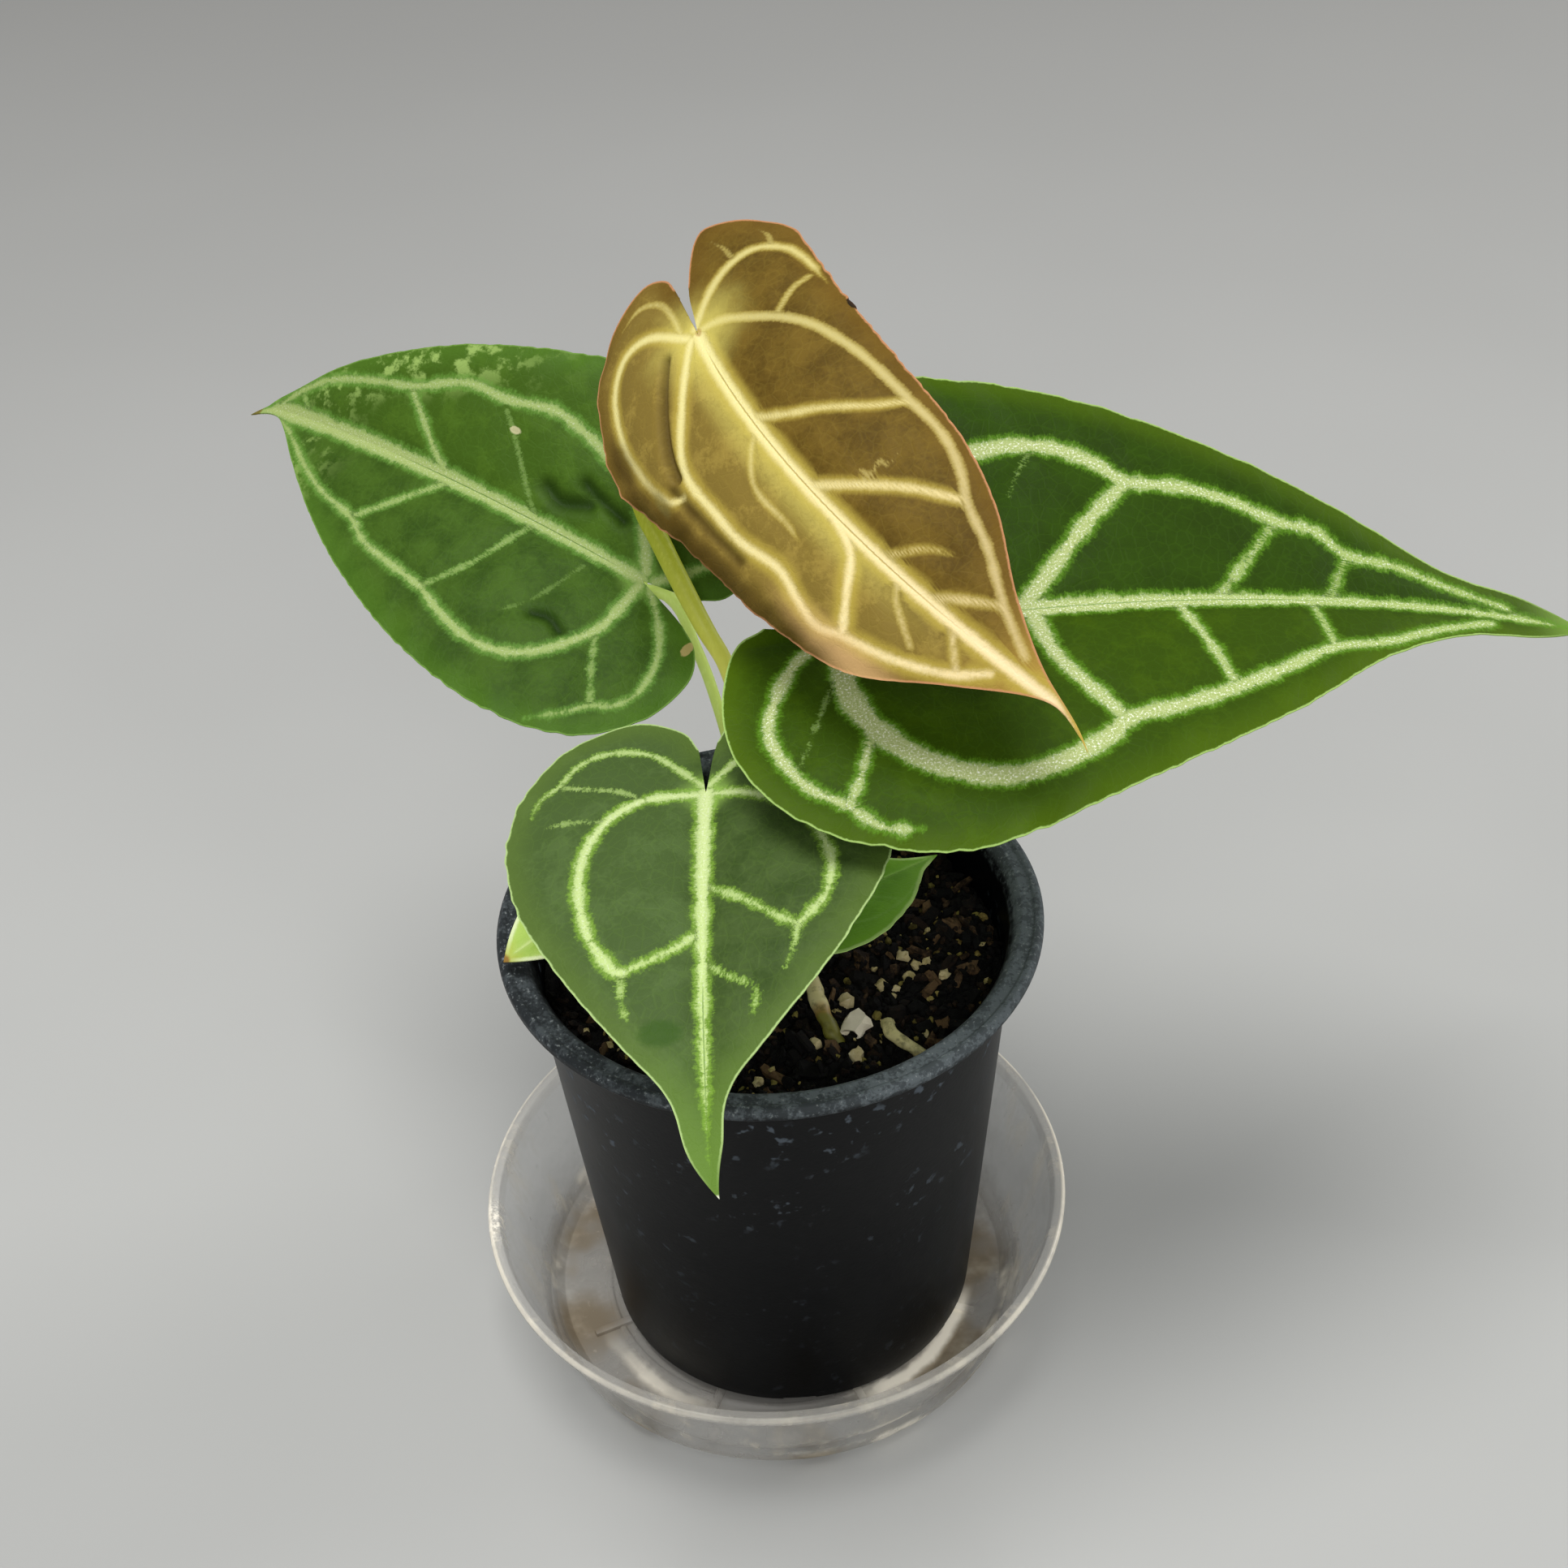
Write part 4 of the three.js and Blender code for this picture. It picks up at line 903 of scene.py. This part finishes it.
def tube(name, route, radii, finish):
    # a round stem drawn as a curve and turned into a mesh
    deselect()
    bpy.ops.curve.primitive_bezier_curve_add()
    piece = named(name)
    curve = piece.data
    curve.bevel_depth = 1.0 * mm
    curve.bevel_resolution = 5
    curve.resolution_u = 10
    curve.use_fill_caps = True
    spline = curve.splines[0]
    spline.bezier_points.add(len(route) - 2)
    for index, (knot, place) in enumerate(zip(spline.bezier_points, route)):
        knot.co = Vector(place) * mm
        knot.handle_left_type = knot.handle_right_type = "AUTO"
        knot.radius = float(np.interp(index / (len(route) - 1), np.linspace(0, 1, len(radii)), radii))
    bpy.ops.object.convert(target="MESH")
    piece = bpy.context.object
    settle(piece)
    tidyMesh(piece)
    piece.data.materials.clear()
    piece.data.materials.append(finish)
    smooth(piece, 50)
    return piece


def stalkFinish(name, low, high, streak, heights):
    # two colours between two heights, with fine pale lines and a faint glow for light that shines through
    finish = Finish(name, specularIorLevel=0.25, roughness=0.42)
    place = finish.place()
    rise = finish.part(place, "Z").span(*heights)
    lines = finish.noise(finish.stretched(place, (1, 1, 0.12)), 1400, 3.0, 0.6)
    blotch = finish.noise(place, 160, 3.0)
    colour = finish.mix(low, high, rise)
    colour = finish.mix(colour, streak, lines.ramp(0.45, 0.75) * 0.3)
    colour = finish.mix(colour, "#f2f0b0", blotch.ramp(0.6, 0.8) * 0.06)
    finish.set(baseColor=colour, emissionColor=colour, emissionStrength=0.24)
    finish.bump(lines, 0.35, 0.15 * mm)
    return finish.material


def addStalks():
    finishes = {
        "bronze_stalk": stalkFinish("bronzeStalk", "#cfcb60", "#96a024", "#c6c85a", (135, 185)),
        "green_stalk": stalkFinish("greenStalk", "#a9bd5c", "#bcd06c", "#cfe08c", (104, 165)),
    }
    for name, stalk in stalks.items():
        leaf = stalk["leaf"]
        origin = np.zeros(1)
        head = onBlade(leaf, origin, origin)[0]
        up = bladeNormal(leaf, origin, origin)[0]
        radius = stalk["radii"][-1]
        below, inside = radius + stalkHead["below"], stalkHead["inside"]
        route = stalk["route"] + [tuple(head - up * depth) for depth in (below, inside)]
        radii = stalk["radii"] + (radius * stalkHead["narrowed"],)
        piece = tube(name, route, radii, finishes[stalk["slot"]])
        onPlant(piece, stalk["slot"], stalk["node"])
    print("stalks", len(stalks))


# Roots that show above the mix. Their finish changes at turn, a place along Y.
rootLumps = {"scale": 420, "height": 0.45}
roots = {
    "aerialRoot": {
        "route": [(5.2, 1.2, 100.4), (7.4, -7, 103.3), (10.4, -14.4, 103.2), (11.7, -19.4, 101.6),
                  (13.3, -23, 99.6), (15.2, -26.2, 96.2), (16.2, -27.6, 91)],
        "radii": (1.7, 1.65, 1.5), "node": "aerial_root", "turn": -20.5,
    },
    "surfaceRoot": {
        "route": [(25.6, -19.8, 95), (24.6, -22.6, 98.9), (25.4, -26.2, 99.7), (27.6, -28.6, 99.6),
                  (30.4, -30.2, 98.2), (32.0, -31.2, 93.5)],
        "radii": (0.9, 1.5, 1.1, 1.35, 1.0), "node": "surface_root", "turn": -32,
    },
}


def rootFinish(name, turn):
    # cream behind the turn, olive in front of it, with a tan joint between and dark patches
    finish = Finish(name, specularIorLevel=0.4, roughness=0.5)
    place = finish.place()
    ahead = finish.part(place, "Y")
    patch = finish.noise(place, 420, 4.0, 0.6)
    colour = finish.mix("#76732a", "#d8cd92", ahead.span(turn - 1, turn + 1))
    joint = 1 - abs(ahead - turn * mm).span(0.4, 1.5)
    colour = finish.mix(colour, "#a8783a", joint * 0.5)
    colour = finish.mix(colour, "#4d4a1c", patch.ramp(0.5, 0.72) * 0.7)
    finish.set(baseColor=colour)
    finish.bump(patch, 0.6, 0.3 * mm)
    return finish.material


def addRoots():
    for name, root in roots.items():
        piece = tube(name, root["route"], root["radii"], rootFinish(name + "Tissue", root["turn"]))
        bumps = [noise.noise(vertex.co * rootLumps["scale"]) for vertex in piece.data.vertices]
        normals = [vertex.normal.copy() for vertex in piece.data.vertices]
        for vertex, normal, bump in zip(piece.data.vertices, normals, bumps):
            vertex.co += normal * bump * rootLumps["height"] * mm
        onPlant(piece, "root_tissue", root["node"])
    print("roots", len(roots))


# Crown: the short stem that the stalks rise from, with dry sheaths round it
crown = {
    "at": (3.5, 6.5), "radius": 6.4, "top": 104.9, "bottom": 90, "dome": 1.2, "rings": (0.25, 2.4),
    "lumps": ((260, 0.5), (700, 0.25)),
    "sheaths": {"turns": (65, 143, -32), "foot": 96, "halfWidth": 3.4, "length": 15, "lean": 12,
                "hollow": 0.9, "inset": 0.6, "thickness": 0.35},
}


def addCrown():
    x, y = crown["at"]
    height = crown["top"] - crown["bottom"]
    deselect()
    middle = (x * mm, y * mm, (crown["bottom"] + height / 2) * mm)
    bpy.ops.mesh.primitive_cylinder_add(vertices=40, radius=crown["radius"] * mm, depth=height * mm,
                                        location=middle, end_fill_type="TRIFAN")
    piece = named("crown")
    settle(piece)
    edit(piece)
    bpy.ops.mesh.subdivide(number_cuts=10)
    bpy.ops.object.mode_set(mode="OBJECT")
    places = points(piece)
    centre = np.array([x, y, 0]) * mm
    ringHeight, rings = crown["rings"]
    for index, place in enumerate(places):
        lump = lumpy(Vector(place), crown["lumps"])
        ring = ringHeight * math.sin(place[2] / mm * rings)
        outward = (place - centre) * (1, 1, 0)
        far = np.linalg.norm(outward) / (crown["radius"] * mm)
        dome = crown["dome"] * (1 - far**2) if place[2] > (crown["top"] - 0.1) * mm else 0
        rise = (dome - crown["dome"] + lump * 0.3) * mm
        places[index] = place + outward / crown["radius"] * (lump + ring) + np.array([0, 0, rise])
    setPoints(piece, places)
    sheaths = [sheath(turn) for turn in crown["sheaths"]["turns"]]
    piece = joined([piece, *sheaths], "crown")
    finish = Finish("crownTissue", specularIorLevel=0.3, roughness=0.7)
    place = finish.place()
    fibre = finish.noise(finish.stretched(place, (1, 1, 0.15)), 900, 4.0, 0.7)
    patch = finish.noise(place, 150, 3.0)
    colour = finish.mix("#6f5a2c", "#a08a55", fibre.ramp(0.35, 0.65))
    colour = finish.mix(colour, "#7f8a3a", patch.ramp(0.5, 0.7) * 0.6)
    finish.set(baseColor=colour)
    finish.bump(fibre, 0.8, 0.4 * mm)
    piece.data.materials.clear()
    piece.data.materials.append(finish.material)
    smooth(piece, 45)
    onPlant(piece, "crown_tissue", "crown")
    print("crown")


def sheath(turn):
    # a dry pointed sheath that stands against the stalks
    shape = crown["sheaths"]
    deselect()
    bpy.ops.mesh.primitive_grid_add(x_subdivisions=12, y_subdivisions=20, size=1)
    piece = named("sheath")
    grid = points(piece)
    across, rise = grid[:, 0] * 2, grid[:, 1] + 0.5
    width = shape["halfWidth"] * (1 - rise**2.2) + 0.1
    lean = math.radians(shape["lean"])
    out = crown["radius"] - shape["inset"] + rise * shape["length"] * math.sin(lean)
    out = out - shape["hollow"] * across**2
    side = across * width
    up = shape["foot"] + rise * shape["length"] * math.cos(lean)
    angle = math.radians(turn)
    x = crown["at"][0] + out * math.cos(angle) - side * math.sin(angle)
    y = crown["at"][1] + out * math.sin(angle) + side * math.cos(angle)
    setPoints(piece, np.column_stack([x, y, up]) * mm)
    modify(piece, "SOLIDIFY", thickness=shape["thickness"] * mm, offset=0)
    return piece


# Potting mix: a dark crumbly mass with chips of bark, crumbs of peat and grains of perlite on it
mix = {
    "at": (2.6, 0.6), "level": 97.4, "mound": 1.2, "depth": 5, "steps": 150, "sideGap": 0.35,
    "lumps": ((0.16, 1.0), (0.42, 0.9), (1.1, 0.5)), "rough": 1.3,
    "edge": {"from": 0.93, "over": 0.07, "drop": 1.2, "inset": 0.4, "clear": 1.6},
    "crumbs": 2600, "bark": 520, "perlite": 110, "moss": 130, "specks": 200,
}
# The large grains of perlite that show: places from the pot's axis, and radii
placedPearls = [
    (15.9, -23.2, 3), (15.3, -30.7, 1.7), (14.3, -15.8, 1.7), (26.4, -4, 1.5), (28.8, -6, 1.1),
    (31.2, -5.4, 1.1), (27.1, -10, 1.3), (34.3, -9.9, 1.2), (21.6, -11.6, 1.2), (7.6, -27.7, 1.3),
    (-3.8, -36.5, 1.3),
]
pearlLift = 0.45
# The pot's inner wall: a radius and a height near its foot and near its rim
potInner = {"low": (39.2, 6.4), "high": (47.6, 103.6)}


def innerRadius(height):
    (lowRadius, low), (highRadius, high) = potInner["low"], potInner["high"]
    return lowRadius + (highRadius - lowRadius) * (height - low) / (high - low)


def soilHeight(x, y):
    # the height of the mix at a place measured from the pot's axis
    radius = innerRadius(mix["level"]) - mix["edge"]["inset"]
    far = math.hypot(x, y) / radius
    place = Vector((x, y, 0))
    rough = lumpy(place, mix["lumps"]) * mix["rough"]
    edge = mix["edge"]
    drop = edge["drop"] * max(far - edge["from"], 0) / edge["over"]
    return mix["level"] + mix["mound"] * (1 - far**2) + rough - drop


def addMass():
    # the mix's own top, a square grid drawn round, with a skirt down the pot's wall
    radius = innerRadius(mix["level"]) - mix["sideGap"]
    deselect()
    bpy.ops.mesh.primitive_grid_add(x_subdivisions=mix["steps"], y_subdivisions=mix["steps"], size=2)
    piece = named("soilMass")
    grid = points(piece)
    reach = np.maximum(np.abs(grid[:, 0]), np.abs(grid[:, 1]))
    length = np.maximum(np.hypot(grid[:, 0], grid[:, 1]), 1e-9)
    x = grid[:, 0] * reach / length * radius
    y = grid[:, 1] * reach / length * radius
    z = [soilHeight(*place) for place in zip(x, y)]
    setPoints(piece, np.column_stack([x + mix["at"][0], y + mix["at"][1], z]) * mm)
    edit(piece)
    drop = (0, 0, -mix["depth"] * mm)
    bpy.ops.mesh.select_all(action="DESELECT")
    bpy.ops.mesh.select_non_manifold()
    bpy.ops.mesh.extrude_region_move(TRANSFORM_OT_translate={"value": drop})
    bpy.ops.object.mode_set(mode="OBJECT")
    keep(piece, "tone", np.full(len(piece.data.vertices), 0.3))
    return piece


def lump(kind, size, turn, at, tone, rough):
    # one copy of a chip, crumb or grain, with its own mesh
    mesh = kind.data.copy()
    piece = bpy.data.objects.new("lump", mesh)
    bpy.context.collection.objects.link(piece)
    shape = Matrix.LocRotScale(Vector(at) * mm, turn, Vector(size) * mm)
    seed = draw.uniform(0, 50)
    for vertex in mesh.vertices:
        vertex.co *= 1 + rough * noise.noise(vertex.co * 2.3 + Vector((seed, 0, 0)))
    mesh.transform(shape)
    keep(piece, "tone", np.full(len(mesh.vertices), tone))
    return piece


def strewn(kind, count, sizes, tones, rough, sink=0.3, taken=(), lie=0.8, apart=0.6):
    # copies of one shape strewn over the mix, apart from the places that are taken. Sizes and tones are
    # ranges, rough is how lumpy a copy is, sink how deep it sits and lie how far it tilts.
    pieces = []
    while len(pieces) < count:
        far = math.sqrt(draw.random()) * (innerRadius(mix["level"]) - mix["edge"]["clear"])
        angle = draw.uniform(0, 2 * math.pi)
        x, y = far * math.cos(angle), far * math.sin(angle)
        if any(math.hypot(x - takenX, y - takenY) < radius + apart for takenX, takenY, radius in taken):
            continue
        size = [draw.uniform(*limits) for limits in sizes]
        turn = Matrix.Rotation(draw.uniform(0, 2 * math.pi), 3, "Z")
        turn = turn @ Matrix.Rotation(draw.gauss(0, lie), 3, "X")
        turn = turn @ Matrix.Rotation(draw.gauss(0, lie), 3, "Y")
        at = (x + mix["at"][0], y + mix["at"][1], soilHeight(x, y) + size[2] * (1 - 2 * sink))
        pieces.append(lump(kind, size, turn.to_quaternion(), at, draw.uniform(*tones), rough))
    return pieces


def addMix():
    mass = addMass()
    deselect()
    bpy.ops.mesh.primitive_ico_sphere_add(subdivisions=1, radius=1)
    crumb = named("crumb")
    bpy.ops.mesh.primitive_ico_sphere_add(subdivisions=2, radius=1)
    grain = named("grain")
    bpy.ops.mesh.primitive_cube_add(size=2)
    chip = named("chip")
    modify(chip, "BEVEL", width=0.35, segments=1)

    stops = [(0.0, "#010100"), (0.5, "#060402"), (0.75, "#20150b"), (1.0, "#5e4930")]
    finish = mixFinish("soilMix", stops, 0.8)
    crumbs = strewn(crumb, mix["crumbs"], ((0.4, 1.4), (0.4, 1.1), (0.3, 0.9)), (0.0, 0.8), 0.6)
    soil = joined([mass, *crumbs], "soilMass")
    soil.data.materials.append(finish)
    onPlant(soil, "soil_mix", "soil")

    sizes = ((0.8, 3.0), (0.6, 1.4), (0.35, 1.1))
    chips = strewn(chip, mix["bark"], sizes, (0.1, 1.0), 0.5, taken=placedPearls)
    bark = joined(chips, "barkChips")
    bark.data.materials.append(finish)
    onPlant(bark, "soil_mix")

    pearls = []
    for x, y, radius in placedPearls:
        turn = Matrix.Rotation(draw.uniform(0, 6), 3, "Z").to_quaternion()
        at = (x + mix["at"][0], y + mix["at"][1], soilHeight(x, y) + radius * pearlLift)
        size = (radius, radius * draw.uniform(0.8, 1), radius * draw.uniform(0.75, 0.95))
        pearls.append(lump(grain, size, turn, at, 0.35 + 0.22 * radius, 0.7))
    sizes = ((0.5, 1.2), (0.4, 1.0), (0.4, 0.9))
    pearls += strewn(grain, mix["perlite"], sizes, (0.0, 0.7), 0.6, taken=placedPearls)
    pearls += strewn(crumb, mix["specks"], ((0.25, 0.55), (0.2, 0.5), (0.2, 0.4)), (0.0, 0.6), 0.5, 0.1)
    perlite = joined(pearls, "perlite")
    stops = [(0.0, "#5c4c20"), (0.4, "#9a8a4c"), (0.7, "#c9b98a"), (1.0, "#eee4cc")]
    perlite.data.materials.append(mixFinish("perlite", stops, 0.7))
    smooth(perlite, 35)
    onPlant(perlite, "soil_mix")

    tufts = strewn(crumb, mix["moss"], ((0.5, 1.4), (0.4, 1.1), (0.4, 0.9)), (0.0, 1.0), 0.6, 0.2)
    moss = joined(tufts, "mossCrumbs")
    moss.data.materials.append(mixFinish("mossCrumbs", [(0.0, "#3a3210"), (1.0, "#8a7f40")], 0.85))
    onPlant(moss, "soil_mix")
    for piece in (crumb, grain, chip):
        bpy.data.objects.remove(piece)
    print("mix", len(soil.data.polygons), len(bark.data.polygons), len(perlite.data.polygons))


def mixFinish(name, stops, roughness):
    # colours by each lump's own tone, with fine grit
    finish = Finish(name, specularIorLevel=0.2, roughness=roughness)
    place = finish.place()
    tone = finish.read("tone")
    grit = finish.noise(place, 1500, 4.0, 0.7)
    blotch = finish.noise(place, 350, 2.0)
    level = tone + (grit - 0.5) * 0.5 + (blotch - 0.5) * 0.5
    colour = stops[0][1]
    for (low, _), (high, code) in zip(stops[:-1], stops[1:]):
        colour = finish.mix(colour, code, level.ramp(low, high))
    finish.set(baseColor=colour)
    finish.bump(grit * 0.6 + blotch, 0.7, 0.4 * mm)
    return finish.material


# Pot and saucer, each a profile of radius and height in millimetres, spun about an upright axis
pot = {
    "at": (2.6, 0.6), "steps": 128, "bevel": 0.35,
    "profile": [
        (0, 4.8), (36.4, 4.8), (37.2, 2.7), (39.4, 2.7), (40.3, 3.7), (40.5, 6), (40.77, 9), (44.8, 55),
        (49.2, 106.0), (50.2, 106.9), (54.0, 107.0), (55, 107.9), (55, 109.3), (54.2, 110.3), (53.2, 110.3),
        (52.9, 109.9), (50.6, 110.2), (49.6, 109.6), (48.2, 107.1), (47.64, 103.6), (43.4, 55), (39.22, 6.4),
        (0, 6.4),
    ],
    "holes": {"radius": 3.6, "ring": 27, "height": 5.6, "depth": 4},
    "notches": {"ring": 38.6, "height": 2.7, "size": (6, 7, 3)},
    "count": 6,
}
saucer = {
    "at": (0, 0), "steps": 144, "bevel": 0.3,
    "profile": [
        (0, 0), (51.7, 0), (53.2, 1), (62.2, 27.8), (63.9, 28.2), (64.2, 29.2), (63.7, 30.2), (61.7, 30.2),
        (52.0, 3.6), (50, 1.4), (40.5, 1.4), (40.2, 1.8), (39.2, 1.8), (38.9, 1.4), (0, 1.4),
    ],
    "ribs": {"count": 8, "inner": 12, "outer": 46, "width": 1.8, "low": 0.8, "top": 2.4, "bevel": 0.35},
    "spark": (-62.9, -7.7), "patch": (-46, -14), "glintRing": 42.5,
}


def spun(name, shape):
    # a profile drawn point by point and spun about its axis
    deselect()
    x, y = shape["at"][0] * mm, shape["at"][1] * mm
    bpy.ops.mesh.primitive_plane_add(size=mm, location=(x, y, 0))
    piece = named(name)
    settle(piece)
    edit(piece)
    bpy.ops.mesh.merge(type="CENTER")
    radius, height = shape["profile"][0]
    bpy.ops.transform.translate(value=(radius * mm, 0, height * mm))
    for (fromRadius, fromHeight), (toRadius, toHeight) in zip(shape["profile"][:-1], shape["profile"][1:]):
        step = ((toRadius - fromRadius) * mm, 0, (toHeight - fromHeight) * mm)
        bpy.ops.mesh.extrude_vertices_move(TRANSFORM_OT_translate={"value": step})
    bpy.ops.mesh.select_all(action="SELECT")
    bpy.ops.mesh.spin(steps=shape["steps"], angle=2 * math.pi, center=(x, y, 0), axis=(0, 0, 1))
    bpy.ops.object.mode_set(mode="OBJECT")
    tidyMesh(piece, 1e-5)
    modify(piece, "BEVEL", width=shape["bevel"] * mm, segments=3, limit_method="ANGLE",
           angle_limit=math.radians(18))
    return piece


def ringOf(count, turn, make):
    # pieces made at even angles round the axis, the first of them turned by a share of a step
    pieces = []
    for step in range(count):
        deselect()
        make(2 * math.pi * (step + turn) / count)
        pieces.append(named("tool"))
        settle(pieces[-1])
    return pieces


def addPot():
    piece = spun("pot", pot)
    x, y = pot["at"][0] * mm, pot["at"][1] * mm
    holes, notches = pot["holes"], pot["notches"]

    def hole(angle, ring=holes["ring"] * mm):
        place = (x + ring * math.cos(angle), y + ring * math.sin(angle), holes["height"] * mm)
        bpy.ops.mesh.primitive_cylinder_add(vertices=40, radius=holes["radius"] * mm,
                                            depth=holes["depth"] * mm, location=place)

    def notch(angle):
        ring = notches["ring"] * mm
        place = (x + ring * math.cos(angle), y + ring * math.sin(angle), notches["height"] * mm)
        bpy.ops.mesh.primitive_cube_add(size=1, location=place, rotation=(0, 0, angle),
                                        scale=[size * mm for size in notches["size"]])

    # one hole in the middle, a ring of them round it and notches in the foot
    cuts = ringOf(1, 0, lambda angle: hole(angle, 0))
    cuts += ringOf(pot["count"], 0, hole) + ringOf(pot["count"], 0.5, notch)
    cutter = joined(cuts, "cutter")
    modify(piece, "BOOLEAN", operation="DIFFERENCE", solver="EXACT", object=cutter)
    bpy.data.objects.remove(cutter)

    # dust on the rim and the lip, painted lighter towards the right as painted light, and dried drops down
    # the side
    finish = Finish("blackPlastic", specularIorLevel=0.11)
    place = finish.place()
    height = finish.part(place, "Z")
    dust = finish.noise(place, 260, 5.0, 0.65)
    speck = finish.noise(place, 1300, 3.0, 0.6)
    cloud = finish.noise(place, 45, 3.0)
    rim = height.span(107.6, 109.4)
    lip = height.span(105.8, 107.0)
    patchy = (dust * 0.6 + speck * 0.4).ramp(0.44, 0.62)
    # side: the rim is painted brighter towards +X, a painted highlight of the light on that side
    side = finish.part(place, "X").span(-52, 52, 0.45, 1.65)
    dustAndSheen = ((rim * (patchy * 0.5 + 0.36) + lip * patchy * 0.32) * side).least(1.0)
    blotch = finish.noise(place, 330, 2.0, 0.55)
    drops = (blotch + (speck - 0.5) * 0.12).ramp(0.6, 0.72)
    drops = drops * height.span(30, 98, 0.15, 1.0) * (1 - lip) * cloud.ramp(0.42, 0.58)
    colour = finish.mix("#040507", "#5f6669", dustAndSheen)
    colour = finish.mix(colour, "#6c7680", drops * 0.6)
    colour = finish.mix(colour, "#9a9f9e", rim * speck.ramp(0.6, 0.7) * 0.5)
    finish.set(baseColor=colour, roughness=0.36 + dustAndSheen * 0.3 + drops * 0.2 + cloud * 0.08)
    finish.bump(dust * 0.5 + speck * 0.3 + drops * 0.6, 0.3, 0.25 * mm)
    piece.data.materials.append(finish.material)
    smooth(piece, 35)
    onPlant(piece, "black_plastic", "pot")
    print("pot", len(piece.data.polygons))


def addSaucer():
    piece = spun("saucer", saucer)
    ribs = saucer["ribs"]
    length, thick = (ribs["outer"] - ribs["inner"]) * mm, (ribs["top"] - ribs["low"]) * mm

    def rib(angle):
        out = (ribs["outer"] + ribs["inner"]) / 2 * mm
        place = (out * math.cos(angle), out * math.sin(angle), ribs["low"] * mm + thick / 2)
        bpy.ops.mesh.primitive_cube_add(size=1, location=place, rotation=(0, 0, angle),
                                        scale=(length, ribs["width"] * mm, thick))

    added = joined(ringOf(ribs["count"], 0.5, rib), "ribs")
    modify(added, "BEVEL", width=ribs["bevel"] * mm, segments=2)
    modify(piece, "BOOLEAN", operation="UNION", solver="EXACT", object=added)
    bpy.data.objects.remove(added)

    # clear plastic with silt on its floor, scuffs on its wall, and pale streaks on its wall painted as
    # reflections of light
    finish = Finish("clearPlastic", roughness=0.14, specularIorLevel=0.6)
    place = finish.place()
    height = finish.part(place, "Z")
    x, y = finish.part(place, "X"), finish.part(place, "Y")
    out = (x * x + y * y) ** 0.5
    haze = finish.noise(place, 70, 4.0, 0.6)
    scuff = finish.noise(finish.stretched(place, (1, 1, 0.25)), 600, 4.0, 0.7)
    low = 1 - height.span(2.2, 7)
    corner = 1 - abs(height - 3.0 * mm).span(0.5, 4.5)
    silt = finish.noise(place, 38, 3.0, 0.6).ramp(0.38, 0.64) * low * out.span(34, 44)
    patchX, patchY = saucer["patch"]
    patch = ((x - patchX * mm) ** 2.0 + (y - patchY * mm) ** 2.0) ** 0.5
    silt = silt.most((1 - (patch + (haze - 0.5) * 16 * mm).span(3, 16)) * low)
    foot = height.span(0.5, 1.5) * (1 - height.span(4, 12)) * haze.ramp(0.5, 0.75)
    lip = height.span(27.2, 28.2)
    # the bead at the rim's top: thicker plastic, more solid, with a painted cream highlight that is strongest
    # at the sides
    beadHighlight = height.span(29.0, 29.7) * out.span(63.0, 63.6) * haze.ramp(0.3, 0.6, 0.5, 1.0)
    beadHighlight = beadHighlight * abs(x).span(20, 60, 0.5, 1.0)
    # streak: pale upright streaks on the wall, painted reflections
    streak = finish.noise(finish.stretched(place, (1, 1, 0.06)), 210, 3.0, 0.6).ramp(0.52, 0.68) * (1 - low)
    facing = finish.add("ShaderNodeLayerWeight", inputs={"Blend": 0.25}, output="Facing")
    colour = finish.mix("#d0cfcb", "#8f7c5c", (silt * 0.9).most(low * 0.35))
    colour = finish.mix(colour, "#cfc3a8", streak * 0.6)
    colour = finish.mix(colour, "#e4dcc8", (beadHighlight + foot * 0.35 + scuff.ramp(0.6, 0.8) * 0.3).least(1.0))
    colour = finish.mix(colour, "#cbc5b8", lip * 0.6)

    # painted highlights: bright lines on the floor round the foot and at its corner, and one spark of light
    # on the rim
    uneven = out + (haze - 0.5) * 5 * mm
    front = 1 - y.span(-34, -14)
    ring = (1 - abs(uneven - saucer["glintRing"] * mm).span(0.6, 2.6)) * low
    right = x.span(14, 22) * (1 - y.span(-18, -8))
    glint = ring * ((1 - x.span(-34, -10)) * front * 0.9).most(right)
    glintSpots = finish.noise(place, 55, 3.0, 0.6).ramp(0.55, 0.68)
    glint = glint.most(corner * glintSpots * out.span(49, 51) * 0.7)
    sparkX, sparkY = saucer["spark"]
    spark = (((x - sparkX * mm) ** 2.0 + (y - sparkY * mm) ** 2.0) ** 0.5).span(2.5, 8)
    spark = (1 - spark) * height.span(26, 29) * scuff.ramp(0.4, 0.6)
    glint = glint.most(spark)
    colour = finish.mix(colour, "#ece6d8", glint)
    solid = facing * 0.26 + haze.ramp(0.4, 0.8) * 0.12 + scuff.ramp(0.6, 0.8) * 0.16 + silt * 0.4
    solid = solid + streak * 0.12 + foot * 0.25 + lip * 0.12 + beadHighlight * 0.45 + glint * 0.5 + low * 0.1 + 0.13
    # sheen: the painted highlights glow, on the bead, the glints and the streaks
    sheen = finish.mix("#000000", "#e8dfca", (beadHighlight.most(glint) * 0.8).most(streak * 0.3))
    finish.set(baseColor=colour, alpha=solid.least(0.92), roughness=0.14 + scuff * 0.2 + silt * 0.3,
               emissionColor=sheen, emissionStrength=0.32)
    finish.bump(scuff, 0.2, 0.2 * mm)
    piece.data.materials.append(finish.material)
    smooth(piece, 35)
    onPlant(piece, "clear_plastic", "saucer")
    print("saucer", len(piece.data.polygons))


addCamera()
addStudio()
print("camera and studio")
addBlades()
addStalks()
addRoots()
addCrown()
addMix()
addPot()
addSaucer()

deselect()
